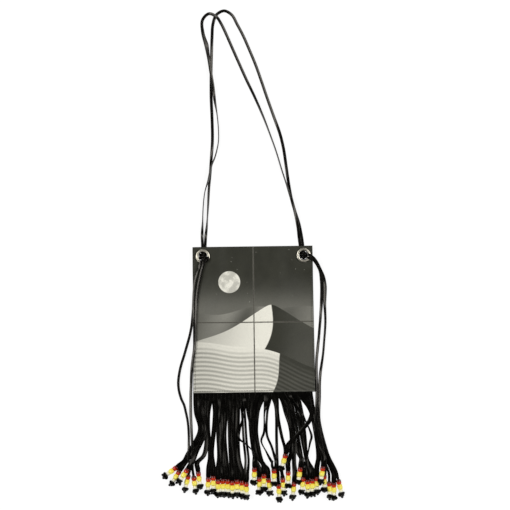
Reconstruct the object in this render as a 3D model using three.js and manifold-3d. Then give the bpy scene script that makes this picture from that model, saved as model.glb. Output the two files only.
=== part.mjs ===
// Flat leather pouch with a doubled lace strap and a beaded fringe, lying on its back.
// Millimetres. +X runs across the bag, +Y towards the strap, +Z out of the printed front.
// The origin is on the floor, under the middle of the back panel.
import * as THREE from 'three';
import { mergeVertices } from 'three/addons/utils/BufferGeometryUtils.js';
import loadManifold from 'manifold-3d';

const wasm = await loadManifold();
wasm.setup();

// Pouch
const BAG_HEIGHT = 248;
const TOP_WIDTH = 203.4;
const BOTTOM_WIDTH = 207.4;
const LEATHER = 1.8;
const CROWN = 9; // how far the front stands off the back in the middle
const CROWN_RAMP = 70; // width of the slope from a sewn edge up to the crown
const MOUTH_STAND_OFF = 6.8; // the crown that is left at the open top edge
const CROSS_SEAM_X = 1;
const CROSS_SEAM_Y = -4.5;
const SEAM_LIP = 1.3; // how far the turned-in seam allowance hangs below the front
const SEAM_LIP_RAMP = 40; // the allowance is trimmed away over this width beside a sewn edge
const GAP = 0.3; // clearance between pieces that touch
const FLOOR_GAP = 0.2;

// Eyelets
const EYELET_INSET_LEFT = 17.5;
const EYELET_INSET_RIGHT = 15.2;
const EYELET_INSET_TOP = 16;
const EYELET_OUTER_RADIUS = 12.3;
const EYELET_HOLE_RADIUS = 7.2;
const EYELET_DOME = 2;
const BARREL_WALL = 0.7;
const ROLLED_LIP = 1.4; // how far the barrel's end is rolled out under the washer
const WASHER_THICKNESS = 0.8;
const WASHER_RADIUS = 11.5;
const EYELET_SIDES = 16;
const SEAT_MARGIN = 1.7; // flat leather around an eyelet's flange
const SEAT_FADE = 30; // width of the slope from that flat seat down to the floor

// Strap laces, and the knot in each eyelet
const LACE_WIDTH = 4.2;
const LACE_THICKNESS = 1.6;
const LACE_REST = 1.3; // height of a lace's middle where it lies on the floor
const LACE_STEP = 14;
const STRAP_KNOT_SLACK = 0.8; // room between the knot and the hole it fills
const STRAP_KNOT_RISE = 0.6; // how far the knot stands above the eyelet

// Fringe: one leather strip slit into strands, with a header sewn into the bottom seam
const STRAND_COUNT = 31;
const FRINGE_THICKNESS = 1.5;
const STRAND_THICKNESS = 1.3; // the strands are skived a little thinner than the header
const STRAND_STAGGER = 0.4; // every second strand lies this much higher than its neighbours
const FRINGE_DROP = 150;
const HEADER_DEPTH = 8;
const HEADER_INSET = 2.5;
const HEADER_SHIFT = -2.3; // the strip is sewn in a little left of the middle
const SLIT_WIDTH = 1.4;
const CROWDING = 12.9; // the slits crowd to the right end: the most that a strand is cut aside for it
const CROWDED_FROM = 12.5; // from this strand on
const CROWDED_OVER = 6; // over this many strands
const STRAND_BEAD_WIDTH = 3.4; // a strand is rolled to this width where it enters a bead
const LEAD_IN = 14; // a strand is part of the way up to its beads this far before them
const CLIMB_SHARE = 0.45; // of the way up, there
const HEAP_CLIMB_SHARE = 0.7; // the same for a stack that lies on two others
const HEAP_VIA_SHARE = 0.4; // such a strand also lifts over the laces at its last point before that
const STRAIGHT_IN = 4; // and runs straight from this far before them
const KNOT_RADIUS = 4;
const KNOT_TIP = 5.4;
const TIP_DROOP = 1.8; // a strand's end hangs this far below its beads' axis

// Beads
const BEAD_DIAMETER = 7.9;
const BEAD_LENGTH = 7.6;
const BEAD_HOLE = 5.2;
const BEAD_WAIST = 6.2; // diameter where two beads of a stack meet
const BEADS_IN_STACK = 3;
const BEAD_SPACING = 1;
const BEAD_SIDES = 8;

// Derived sizes
const HALF_HEIGHT = BAG_HEIGHT / 2;
const HEM_Y = -HALF_HEIGHT;
const EYELET_Y = HALF_HEIGHT - EYELET_INSET_TOP;
const BARREL_RADIUS = EYELET_HOLE_RADIUS + BARREL_WALL;
const PANEL_HOLE_RADIUS = BARREL_RADIUS + GAP;
const SEAT_RADIUS = EYELET_OUTER_RADIUS + SEAT_MARGIN;
const LACE_TOP = LACE_REST + LACE_THICKNESS / 2;
const ROLL_BOTTOM = LACE_TOP + GAP;
const WASHER_BOTTOM = ROLL_BOTTOM + BARREL_WALL + GAP;
const SEAT_LIFT = WASHER_BOTTOM + WASHER_THICKNESS + GAP;
const FLANGE_BOTTOM = SEAT_LIFT + 2 * LEATHER + 2 * GAP;
const FLANGE_TOP = FLANGE_BOTTOM + EYELET_DOME;
const HEADER_BOTTOM = LEATHER + GAP;
const HEADER_RISE = FRINGE_THICKNESS + GAP;
const STACK_LENGTH = BEADS_IN_STACK * BEAD_LENGTH;
const BEAD_PITCH = BEAD_DIAMETER + BEAD_SPACING;
const STRAND_Z = FLOOR_GAP + STRAND_THICKNESS / 2;
const CROSSING_LIFT = STRAND_THICKNESS + STRAND_STAGGER + GAP;

// Height of a bead stack's axis: on the floor, on other strands, or on two other stacks.
const FLOOR_AXIS = BEAD_DIAMETER / 2 + FLOOR_GAP;
const LEVEL = {
  floor: FLOOR_AXIS,
  upper: FLOOR_AXIS + STRAND_THICKNESS + STRAND_STAGGER + 2 * GAP,
  heap: FLOOR_AXIS + 0.8 * BEAD_PITCH,
};

const FINISH = {
  charcoal: { color: 0x3c3c34, roughness: 0.55, metalness: 0 },
  cream: { color: 0xd8d1bc, roughness: 0.55, metalness: 0 },
  blackLeather: { color: 0x1b1b1c, roughness: 0.45, metalness: 0 },
  nickel: { color: 0xdcd8cc, roughness: 0.25, metalness: 1 },
  bead: { color: 0xf2d84a, roughness: 0.2, metalness: 0 },
};

// Each strand from left to right: the points that it passes, then where its first bead lies, as
// [bead pitches from the middle, share of the fringe's drop], how far the stack leans sideways for
// each unit down, and what the stack lies on. The last strand crosses over its neighbours.
const STRANDS = [
  { via: [[-11.2, 0.22], [-10.5, 0.42], [-12.7, 0.68]], bead: [-15.21, 0.844], lean: -1.4, on: 'floor' },
  { via: [[-10.55, 0.22], [-9.75, 0.42], [-11.95, 0.68]], bead: [-14.6, 0.891], lean: -0.64, on: 'floor' },
  { via: [[-10, 0.22], [-9.5, 0.43], [-11.25, 0.67]], bead: [-13.08, 0.867], lean: -0.68, on: 'heap' },
  { via: [[-9.3, 0.22], [-9.1, 0.44], [-9.7, 0.7]], bead: [-10.87, 0.909], lean: 0.12, on: 'floor' },
  { via: [[-8.85, 0.22], [-8.95, 0.4], [-8.65, 0.72]], bead: [-9, 0.975], lean: -0.05, on: 'floor' },
  { via: [[-7.6, 0.22], [-7.75, 0.4], [-8.3, 0.68]], bead: [-8.05, 0.96], lean: 0, on: 'floor' },
  { via: [[-6.9, 0.22], [-7, 0.45], [-6.85, 0.72]], bead: [-7.14, 1], lean: 0, on: 'floor' },
  { via: [[-6.25, 0.22], [-6.4, 0.49], [-6.35, 0.76]], bead: [-6.24, 0.997], lean: 0, on: 'floor' },
  { via: [[-5.5, 0.22], [-5.8, 0.49], [-5.55, 0.76]], bead: [-5.34, 1], lean: 0, on: 'floor' },
  { via: [[-4.75, 0.22], [-4.75, 0.49], [-4.65, 0.76]], bead: [-4.44, 1.016], lean: 0, on: 'floor' },
  { via: [[-3.95, 0.22], [-4.1, 0.49], [-3.9, 0.77]], bead: [-3.54, 1.005], lean: 0, on: 'floor' },
  { via: [[-3.25, 0.22], [-3.35, 0.49], [-3.15, 0.75]], bead: [-2.64, 1.018], lean: 0, on: 'floor' },
  { via: [[-2.2, 0.22], [-1.85, 0.55], [-1.55, 0.77]], bead: [-1.74, 1.034], lean: 0, on: 'floor' },
  { via: [[-1.5, 0.22], [-0.45, 0.5], [-0.1, 0.68]], bead: [-0.18, 0.868], lean: -0.05, on: 'upper' },
  { via: [[-0.85, 0.2], [-0.6, 0.5], [0.1, 0.77]], bead: [0.69, 0.98], lean: 0, on: 'floor' },
  {
    via: [[0.15, 0.12], [-0.1, 0.28], [-0.15, 0.48], [0.8, 0.75]],
    bead: [1.59, 0.944], lean: 0, on: 'floor',
  },
  {
    via: [[1.15, 0.08], [0.65, 0.2], [0.25, 0.43], [0.5, 0.58], [1.35, 0.8]],
    bead: [2.5, 0.992], lean: 0.1, on: 'floor',
  },
  {
    via: [[2.4, 0.09], [2.15, 0.22], [2.05, 0.48], [2.9, 0.62], [3.55, 0.75]],
    bead: [3.54, 0.886], lean: 0, on: 'upper',
  },
  {
    via: [[3.95, 0.12], [4.15, 0.27], [4.12, 0.5], [4.2, 0.8]],
    bead: [4.4, 1.062], lean: 0.05, on: 'floor',
  },
  {
    via: [[4.3, 0.12], [4.5, 0.3], [5.1, 0.5], [5.7, 0.66], [5.3, 0.83]],
    bead: [5.2, 0.991], lean: 0.1, on: 'floor',
  },
  {
    via: [[5.4, 0.09], [6, 0.23], [6.8, 0.38], [7, 0.52], [6.85, 0.7]],
    bead: [6.25, 0.912], lean: 0, on: 'upper',
  },
  { via: [[6, 0.1], [6.6, 0.24], [7.35, 0.48], [7.4, 0.8]], bead: [7.33, 1.041], lean: -0.1, on: 'floor' },
  {
    via: [[6.6, 0.1], [7.15, 0.23], [7.85, 0.48], [8.3, 0.69]],
    bead: [8.53, 0.872], lean: -0.15, on: 'upper',
  },
  {
    via: [[7.2, 0.1], [7.7, 0.23], [8.4, 0.48], [9.1, 0.74]],
    bead: [9.06, 0.986], lean: -0.1, on: 'floor',
  },
  { via: [[7.8, 0.1], [8.25, 0.23], [8.9, 0.48], [9.8, 0.77]], bead: [9.93, 1.015], lean: 0, on: 'floor' },
  {
    via: [[8.4, 0.1], [8.85, 0.23], [9.4, 0.48], [9.8, 0.765]],
    bead: [10.83, 1.008], lean: 0, on: 'floor',
  },
  {
    via: [[9.5, 0.1], [10.75, 0.23], [11.6, 0.46], [12.1, 0.74]],
    bead: [11.73, 0.983], lean: 0, on: 'floor',
  },
  {
    via: [[10, 0.1], [10.95, 0.23], [11.6, 0.44], [12.3, 0.63]],
    bead: [12.81, 0.862], lean: -0.15, on: 'heap',
  },
  {
    via: [[10.4, 0.1], [11.15, 0.23], [11.9, 0.43], [12.75, 0.72]],
    bead: [13.12, 0.961], lean: 0, on: 'floor',
  },
  {
    via: [[10.7, 0.1], [11.35, 0.23], [12.2, 0.41], [13.7, 0.76]],
    bead: [14.94, 1.054], lean: 0, on: 'floor',
  },
  {
    via: [[11, 0.19], [10.5, 0.32], [8.4, 0.47]],
    bead: [5.73, 0.717], lean: -0.3, on: 'upper', over: true,
  },
];

// The two strap laces from the left eyelet to the right one. The second passes over the first.
const STRAP_UNDER_ROUTE = [
  [-80.9, 106, 1.3], [-80.2, 125.7, 1.3], [-78.9, 144.4, 1.3], [-77, 159.6, 1.3], [-74.5, 191.9, 1.3],
  [-72.4, 225.9, 1.3], [-70.2, 248, 1.3], [-68.4, 270, 1.3], [-65.7, 304, 1.3], [-65.8, 339.7, 1.3],
  [-66.9, 380.5, 1.3], [-66.4, 419.6, 1.3], [-65.2, 451.9, 1.3], [-64.1, 479.1, 1.3], [-62.1, 502.9, 1.3],
  [-56, 518.1, 1.3], [-43.1, 524.7, 1.3], [-30.1, 517.7, 1.3], [-20.6, 500.6, 1.3], [-11, 481.8, 1.3],
  [-1.6, 459.6, 1.3], [9.4, 432.2, 1.3], [18.7, 404.9, 1.3], [28.2, 375.9, 1.3], [39.3, 343.4, 1.3],
  [49.3, 314.4, 1.3], [55.1, 288.8, 1.3], [59, 259.9, 1.3], [63, 229.2, 1.3], [67.1, 205.3, 1.3],
  [73.4, 181.5, 1.3], [79.6, 161, 1.3], [84.2, 137.1, 1.3], [85.8, 123.5, 1.3], [87.6, 106, 1.3],
];
const STRAP_OVER_ROUTE = [
  [-85.6, 106, 1.3], [-84.9, 125.8, 1.3], [-85.2, 144.4, 1.3], [-84, 166.5, 1.3], [-82.7, 192, 1.3],
  [-79.4, 217.5, 2.4], [-73.1, 237.8, 3.6], [-67.6, 261.5, 3.6], [-61.3, 276.7, 2.8], [-55.7, 300.5, 1.3],
  [-55, 320.9, 1.3], [-57, 348.1, 1.3], [-60.9, 373.6, 2.4], [-63.5, 397.5, 3.6], [-67.2, 423, 3.6],
  [-70.2, 443.5, 2.8], [-74.8, 465.6, 1.3], [-80.1, 489.5, 1.3], [-79.7, 509.9, 1.3], [-68.7, 520, 2],
  [-56, 513.8, 3.6], [-48.3, 502.7, 2.4], [-38.7, 482.2, 1.3], [-30.8, 463.4, 1.3], [-19.8, 437.7, 1.3],
  [-7.2, 408.6, 1.3], [7, 377.9, 1.3], [22, 342, 1.3], [32, 314.6, 1.3], [42, 285.6, 1.3],
  [51.9, 251.5, 1.8], [62, 219, 3.6], [68.6, 198.5, 3.6], [73.6, 178.1, 3.6], [77.8, 154.2, 3],
  [79.4, 137.2, 1.3], [81, 123.5, 1.3], [82.6, 106, 1.3],
];

// The four lace ends: over the eyelet's rim, off the bag's edge, along the floor and into their beads.
const TAILS = {
  left_tail_inner: {
    route: [
      [-81.4, 102.4, 12.1], [-82.6, 96.3, 12.1], [-85, 89, 10.9], [-87.4, 81, 9.2], [-89.6, 71, 7.8],
      [-92, 60, 6.6], [-94.2, 46, 5.6], [-95.8, 33, 5.4], [-97.2, 18, 5.3], [-98.3, 3, 5.3],
      [-99.2, -14, 5.2], [-99.9, -33, 5.2], [-101.2, -51, 5.1], [-103.6, -67, 5.1], [-105.3, -80, 5],
      [-106.3, -92, 3.4], [-107.2, -110, 1.3], [-108, -126, 1.3], [-108.3, -142, 1.4],
      [-108.4, -160, 1.8], [-107.8, -178, 3], [-107.2, -195, 3], [-106.6, -212, 3], [-105.8, -232, 3],
    ],
    bead: [-11.75, 0.96],
    lean: 0.12,
  },
  left_tail_outer: {
    route: [
      [-86, 102.4, 12.1], [-87.6, 96.5, 12.1], [-90.6, 89.6, 10.9], [-93.8, 83, 8.3], [-96.6, 74.5, 6.5],
      [-98.8, 63, 5.2], [-100.2, 48, 5.1], [-101.1, 31, 5.1], [-102.1, 15, 5.3], [-103.4, 2, 5.3],
      [-105, -10, 5.1], [-107.2, -21, 4.4], [-109.8, -31, 2.6], [-114, -45, 1.3], [-118.5, -60, 1.3],
      [-123.4, -75, 1.3], [-127, -90, 1.3], [-128.9, -106, 1.3], [-127.8, -120, 1.3], [-124, -134, 1.3],
      [-119.6, -144, 1.3], [-116.6, -157, 1.3], [-114.2, -169, 1.6], [-112.9, -180, 2.6],
      [-112.2, -195, 3.1], [-112.4, -215, 3.2], [-113.2, -236, 3.4],
    ],
    bead: [-12.85, 0.943],
    lean: -0.25,
  },
  right_tail_inner: {
    route: [
      [91.2, 104.6, 12.3], [96.6, 102.8, 12.4], [102.8, 99.6, 11], [107.2, 94.4, 7.4], [111.4, 87.2, 3.6],
      [114.6, 79, 1.9], [116.5, 67, 1.3], [117, 54, 1.3], [116.7, 40, 1.3], [115.8, 25, 1.3],
      [114.6, 10, 1.3], [113.4, -4, 1.3], [112, -18, 1.3], [110.8, -31, 1.3], [109.4, -43, 1.3],
      [108, -55, 1.3], [106.7, -67, 1.3], [106, -80, 1.3], [105.9, -97, 1.3], [106, -113, 1.3],
      [106.1, -128, 1.3], [105.7, -140, 1.7], [105, -152, 2.9], [105, -169, 3.3], [107.4, -186, 3.5],
      [111.8, -206, 3.8], [116, -229, 4.1], [119.4, -247, 4.7],
    ],
    bead: [14.04, 1.041],
    lean: 0.02,
  },
  right_tail_outer: {
    route: [
      [92, 109.6, 12.1], [97.6, 107.6, 12.8], [103.8, 102.6, 13.6], [108.6, 96, 10.6], [112.6, 88.6, 6.2],
      [116, 80.4, 4.3], [119.2, 72, 3.3], [121.4, 63, 1.6], [122.5, 54, 1.3], [122.1, 40, 1.3],
      [121.5, 25, 1.3], [122, 10, 1.3], [122.2, -4, 1.3], [121.1, -23, 1.3], [119.7, -37, 1.3],
      [118.4, -52, 1.3], [116.7, -66, 1.3], [114.8, -78, 1.3], [112.9, -90, 1.3], [111.6, -102, 1.3],
      [110.9, -114, 1.3], [110.7, -128, 1.3], [110.3, -140, 1.4], [109.6, -152, 1.9], [109.5, -169, 3.1],
      [112, -186, 3.3], [117.2, -208, 3.3], [125, -234, 3.2],
    ],
    bead: [15.86, 1.022],
    lean: 0.22,
  },
};

/** Smooth step from 0 at t = 0 to 1 at t = 1. */
function ramp(t) {
  const u = Math.min(1, Math.max(0, t));
  return u * u * (3 - 2 * u);
}

/** Half the bag's width at height y. */
function halfWidth(y) {
  return (TOP_WIDTH + BOTTOM_WIDTH) / 4 - ((BOTTOM_WIDTH - TOP_WIDTH) / 2) * (y / BAG_HEIGHT);
}

const EYELETS = {
  left: new THREE.Vector2(EYELET_INSET_LEFT - halfWidth(EYELET_Y), EYELET_Y),
  right: new THREE.Vector2(halfWidth(EYELET_Y) - EYELET_INSET_RIGHT, EYELET_Y),
};

/** 1 on the flat seat around an eyelet, falling to 0 away from it. */
function eyeletSeat(x, y) {
  const nearest = Math.min(
    ...Object.values(EYELETS).map((eye) => Math.max(Math.abs(x - eye.x), Math.abs(y - eye.y))),
  );
  return 1 - ramp((nearest - SEAT_RADIUS) / SEAT_FADE);
}

/** Underside of the back panel: on the floor, lifted over the laces around the eyelets. */
function backUnder(x, y) {
  return SEAT_LIFT * eyeletSeat(x, y);
}

/** How far the front stands off the back: nothing at the sewn edges and the eyelets. */
function standOff(x, y) {
  const sides = ramp((halfWidth(y) - Math.abs(x)) / CROWN_RAMP);
  const bottom = ramp((y - HEM_Y) / CROWN_RAMP);
  const mouth = 1 - ramp((HALF_HEIGHT - y) / CROWN_RAMP);
  const crown = CROWN + (MOUTH_STAND_OFF - CROWN) * mouth;
  return crown * sides * bottom * (1 - eyeletSeat(x, y));
}

/** Underside of the front: above the back, the fringe's header and the pouch's hollow. */
function frontUnder(x, y) {
  const header = HEADER_RISE * (1 - ramp((y - HEM_Y - HEADER_DEPTH - HEADER_INSET) / (2 * HEADER_DEPTH)));
  return backUnder(x, y) + LEATHER + GAP + header + standOff(x, y);
}

/** Closed solid between an upper and a lower grid of points; x grows with i and y with j. */
function gridSolid(across, along, upperAt, lowerAt) {
  const positions = [];
  for (const pointAt of [upperAt, lowerAt]) {
    for (let j = 0; j < along; j++) {
      for (let i = 0; i < across; i++) positions.push(...pointAt(i, j));
    }
  }
  const lower = across * along;
  const at = (i, j) => j * across + i;
  const index = [];
  const quad = (a, b, c, d) => index.push(a, b, c, a, c, d);
  const rim = (a, b) => quad(b, a, lower + a, lower + b);
  for (let j = 0; j < along - 1; j++) {
    for (let i = 0; i < across - 1; i++) {
      const corners = [at(i, j), at(i + 1, j), at(i + 1, j + 1), at(i, j + 1)];
      quad(...corners);
      quad(...corners.reverse().map((corner) => lower + corner));
    }
  }
  for (let i = 0; i < across - 1; i++) {
    rim(at(i, 0), at(i + 1, 0));
    rim(at(i + 1, along - 1), at(i, along - 1));
  }
  for (let j = 0; j < along - 1; j++) {
    rim(at(0, j + 1), at(0, j));
    rim(at(across - 1, j), at(across - 1, j + 1));
  }
  const geometry = new THREE.BufferGeometry();
  geometry.setAttribute('position', new THREE.Float32BufferAttribute(positions, 3));
  geometry.setIndex(index);
  return geometry;
}

/** A closed geometry as a solid that can be joined and cut. */
function solidOf(geometry) {
  const bare = geometry.clone();
  bare.deleteAttribute('normal');
  bare.deleteAttribute('uv');
  const merged = mergeVertices(bare, 1e-4);
  return new wasm.Manifold(
    new wasm.Mesh({
      numProp: 3,
      vertProperties: Float32Array.from(merged.attributes.position.array),
      triVerts: Uint32Array.from(merged.index.array),
    }),
  );
}

/** A joined or cut solid as a geometry. */
function geometryOf(solid) {
  const mesh = solid.getMesh();
  const geometry = new THREE.BufferGeometry();
  geometry.setAttribute('position', new THREE.Float32BufferAttribute(mesh.vertProperties, 3));
  geometry.setIndex(Array.from(mesh.triVerts));
  return geometry;
}

/** The geometry with a round hole for an eyelet's barrel cut through it. */
function pierced(geometry, eye) {
  const depth = 4 * FLANGE_TOP;
  const drill = new THREE.CylinderGeometry(PANEL_HOLE_RADIUS, PANEL_HOLE_RADIUS, depth, EYELET_SIDES);
  drill.rotateX(Math.PI / 2);
  drill.translate(eye.x, eye.y, 0);
  return geometryOf(solidOf(geometry).subtract(solidOf(drill)));
}

/** Distances from a side edge at which the panels' grids have a line, around that side's eyelet seat. */
function sideDistances(inset) {
  const seatEnd = inset + SEAT_RADIUS;
  const beyond = [0, 0.5, 1, 1.7].map((share) => seatEnd + share * SEAT_FADE);
  return [0, inset - SEAT_RADIUS, ...beyond];
}

const TOP_DISTANCES = sideDistances(EYELET_INSET_TOP);
const BOTTOM_DISTANCES = [
  0,
  HEADER_DEPTH + HEADER_INSET,
  3.4 * HEADER_DEPTH,
  ...[0.6, 1, 1.4].map((share) => share * CROWN_RAMP),
];

// The turned edge along the cross seam, from the seam outwards: where the outside and the inside of
// the leather run, how far the outside has dropped and how much of the allowance hangs below.
const TURNED_EDGE = [
  { outside: GAP / 2, inside: GAP / 2 + 0.8 * LEATHER, drop: 1, hang: 1 },
  { outside: GAP / 2 + 0.15 * LEATHER, inside: GAP / 2 + 1.05 * LEATHER, drop: 0.5, hang: 0.4 },
  { outside: GAP / 2 + 0.55 * LEATHER, inside: GAP / 2 + 1.45 * LEATHER, drop: 0.12, hang: 0.1 },
  { outside: GAP / 2 + 1.4 * LEATHER, inside: GAP / 2 + 2 * LEATHER, drop: 0, hang: 0 },
];

/** Grid lines of a front panel in one direction, from its low end to its high end. */
function gridLines(towards, seamAt, edgeAt, edgeDistances) {
  const lines = TURNED_EDGE.map((edge) => ({
    outside: () => seamAt + towards * edge.outside,
    inside: () => seamAt + towards * edge.inside,
    drop: edge.drop,
    hang: edge.hang,
  }));
  for (const distance of [...edgeDistances].reverse()) {
    const place = (y) => towards * (edgeAt(y) - distance);
    lines.push({ outside: place, inside: place, drop: 0, hang: 0 });
  }
  return towards > 0 ? lines : lines.reverse();
}

/** One of the four front panels: a crowned sheet with turned edges along the cross seam. */
function frontPanel(sideX, sideY) {
  const inset = sideX < 0 ? EYELET_INSET_LEFT : EYELET_INSET_RIGHT;
  const columns = gridLines(sideX, CROSS_SEAM_X, halfWidth, sideDistances(inset));
  const ends = sideY > 0 ? TOP_DISTANCES : BOTTOM_DISTANCES;
  const rows = gridLines(sideY, CROSS_SEAM_Y, () => HALF_HEIGHT, ends);
  const lipAt = (x, y) =>
    SEAM_LIP * ramp((halfWidth(y) - Math.abs(x)) / SEAM_LIP_RAMP) * ramp((y - HEM_Y) / SEAM_LIP_RAMP);
  const upperAt = (i, j) => {
    const y = rows[j].outside();
    const x = columns[i].outside(y);
    const drop = Math.max(columns[i].drop, rows[j].drop);
    const full = drop === 1 ? LEATHER + lipAt(x, y) : drop * LEATHER;
    return [x, y, frontUnder(x, y) + LEATHER - full];
  };
  const lowerAt = (i, j) => {
    const y = rows[j].inside();
    const x = columns[i].inside(y);
    return [x, y, frontUnder(x, y) - Math.max(columns[i].hang, rows[j].hang) * lipAt(x, y)];
  };
  return gridSolid(columns.length, rows.length, upperAt, lowerAt);
}

/** The back panel: one flat sheet, lifted over the laces at its two top corners and pierced there. */
function backPanel() {
  const left = sideDistances(EYELET_INSET_LEFT).map((distance) => (y) => distance - halfWidth(y));
  const right = sideDistances(EYELET_INSET_RIGHT).map((distance) => (y) => halfWidth(y) - distance);
  const columns = [...left, ...right.reverse()];
  const rows = [HEM_Y, ...[...TOP_DISTANCES].reverse().map((distance) => HALF_HEIGHT - distance)];
  const pointAt = (rise) => (i, j) => {
    const x = columns[i](rows[j]);
    return [x, rows[j], backUnder(x, rows[j]) + rise];
  };
  const sheet = gridSolid(columns.length, rows.length, pointAt(LEATHER), pointAt(0));
  return pierced(pierced(sheet, EYELETS.left), EYELETS.right);
}

/** A ring turned about the vertical axis from [radius, height] points listed downwards on the outside. */
function turned(profile, sides) {
  const points = [...profile, profile[0]].map(([radius, height]) => new THREE.Vector2(radius, height));
  const geometry = new THREE.LatheGeometry(points, sides);
  geometry.rotateX(Math.PI / 2);
  return geometry;
}

/** An eyelet: a domed flange on the front, and a barrel rolled out under the washer. */
function eyelet() {
  const ring = EYELET_OUTER_RADIUS - EYELET_HOLE_RADIUS;
  return turned(
    [
      [EYELET_HOLE_RADIUS, ROLL_BOTTOM],
      [BARREL_RADIUS + ROLLED_LIP, ROLL_BOTTOM],
      [BARREL_RADIUS + ROLLED_LIP, ROLL_BOTTOM + BARREL_WALL],
      [BARREL_RADIUS, ROLL_BOTTOM + BARREL_WALL],
      [BARREL_RADIUS, FLANGE_BOTTOM],
      [EYELET_OUTER_RADIUS, FLANGE_BOTTOM],
      [EYELET_OUTER_RADIUS, FLANGE_BOTTOM + 0.3 * EYELET_DOME],
      [EYELET_OUTER_RADIUS - 0.2 * ring, FLANGE_BOTTOM + 0.85 * EYELET_DOME],
      [EYELET_OUTER_RADIUS - 0.5 * ring, FLANGE_TOP],
      [EYELET_OUTER_RADIUS - 0.8 * ring, FLANGE_BOTTOM + 0.85 * EYELET_DOME],
      [EYELET_HOLE_RADIUS, FLANGE_BOTTOM + 0.3 * EYELET_DOME],
    ],
    EYELET_SIDES,
  );
}

/** The washer that an eyelet's barrel is rolled over, behind the back panel. */
function washer() {
  const top = WASHER_BOTTOM + WASHER_THICKNESS;
  return turned(
    [
      [PANEL_HOLE_RADIUS, WASHER_BOTTOM],
      [WASHER_RADIUS, WASHER_BOTTOM],
      [WASHER_RADIUS, top],
      [PANEL_HOLE_RADIUS, top],
    ],
    EYELET_SIDES,
  );
}

/** The lump of knotted lace that fills an eyelet's hole. */
function strapKnot() {
  const bottom = LACE_TOP + GAP;
  const top = FLANGE_TOP + STRAP_KNOT_RISE;
  const radius = EYELET_HOLE_RADIUS - STRAP_KNOT_SLACK;
  const geometry = new THREE.IcosahedronGeometry(1, 1);
  geometry.scale(radius, radius, (top - bottom) / 2);
  geometry.translate(0, 0, (top + bottom) / 2);
  return geometry;
}

/** Flat section of a lace, thickness along x and width along y. */
function laceSection() {
  const half = LACE_THICKNESS / 2;
  const wide = LACE_WIDTH / 2;
  const corners = [
    [half, -0.72 * wide],
    [half, 0.72 * wide],
    [0.45 * half, wide],
    [-0.45 * half, wide],
    [-half, 0.72 * wide],
    [-half, -0.72 * wide],
    [-0.45 * half, -wide],
    [0.45 * half, -wide],
  ];
  return new THREE.Shape(corners.map(([x, y]) => new THREE.Vector2(x, y)));
}

/** A lace along a smooth curve through the points. */
function lace(points) {
  const path = new THREE.CatmullRomCurve3(points);
  const steps = Math.round(path.getLength() / LACE_STEP);
  return new THREE.ExtrudeGeometry(laceSection(), { steps, extrudePath: path, bevelEnabled: false });
}

/** A point in the fringe, given in bead pitches across and a share of the drop. */
function fringePoint([across, down], height) {
  return new THREE.Vector3(across * BEAD_PITCH, HEM_Y - down * FRINGE_DROP, height);
}

/** Where a stack of beads lies: its top, its direction, and the points of the strand through it. */
function beadRun(bead, lean, axisHeight) {
  const direction = new THREE.Vector3(lean, -1, 0).normalize();
  const first = fringePoint(bead, axisHeight);
  const start = first.clone().addScaledVector(direction, -BEAD_LENGTH / 2);
  const along = (distance) => start.clone().addScaledVector(direction, distance);
  const knot = along(STACK_LENGTH + GAP + KNOT_RADIUS);
  const tip = along(STACK_LENGTH + GAP + 2 * KNOT_RADIUS + KNOT_TIP);
  tip.z -= TIP_DROOP;
  return { start, direction, along, knot, tip };
}

/** The lump of an overhand knot below a stack of beads. */
function knotLump(centre) {
  const geometry = new THREE.DodecahedronGeometry(KNOT_RADIUS);
  geometry.translate(centre.x, centre.y, centre.z);
  return geometry;
}

/** A stack of fused beads along +Y from the origin, with a hole through it. */
function beadStack() {
  const hole = BEAD_HOLE / 2;
  const waist = BEAD_WAIST / 2;
  const profile = [new THREE.Vector2(hole, 0), new THREE.Vector2(waist, 0)];
  for (let bead = 0; bead < BEADS_IN_STACK; bead++) {
    profile.push(new THREE.Vector2(BEAD_DIAMETER / 2, (bead + 0.5) * BEAD_LENGTH));
    profile.push(new THREE.Vector2(waist, (bead + 1) * BEAD_LENGTH));
  }
  profile.push(new THREE.Vector2(hole, STACK_LENGTH), profile[0]);
  return new THREE.LatheGeometry(profile, BEAD_SIDES);
}

/** A flat strand along stations of { point, width }, with its flat side up. */
function ribbon(stations) {
  const vertical = new THREE.Vector3(0, 0, 1);
  const sections = stations.map(({ point, width }, k) => {
    const before = stations[Math.max(0, k - 1)].point;
    const after = stations[Math.min(stations.length - 1, k + 1)].point;
    const tangent = after.clone().sub(before).normalize();
    const side = vertical.clone().cross(tangent).normalize().multiplyScalar(width / 2);
    const up = tangent.cross(side).normalize().multiplyScalar(STRAND_THICKNESS / 2);
    const place = (s, u) => point.clone().addScaledVector(side, s).addScaledVector(up, u).toArray();
    return { upper: [place(1, 1), place(-1, 1)], lower: [place(1, -1), place(-1, -1)] };
  });
  return gridSolid(
    2,
    sections.length,
    (i, j) => sections[j].upper[i],
    (i, j) => sections[j].lower[i],
  );
}

/** How far a strand is cut to the right of an even row: the slits lie closer together at that end. */
function crowding(k) {
  const last = STRAND_COUNT - 1;
  const most = CROWDED_FROM + CROWDED_OVER;
  return CROWDING * ramp((k - CROWDED_FROM) / CROWDED_OVER) * ((last - k) / (last - most));
}

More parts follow.
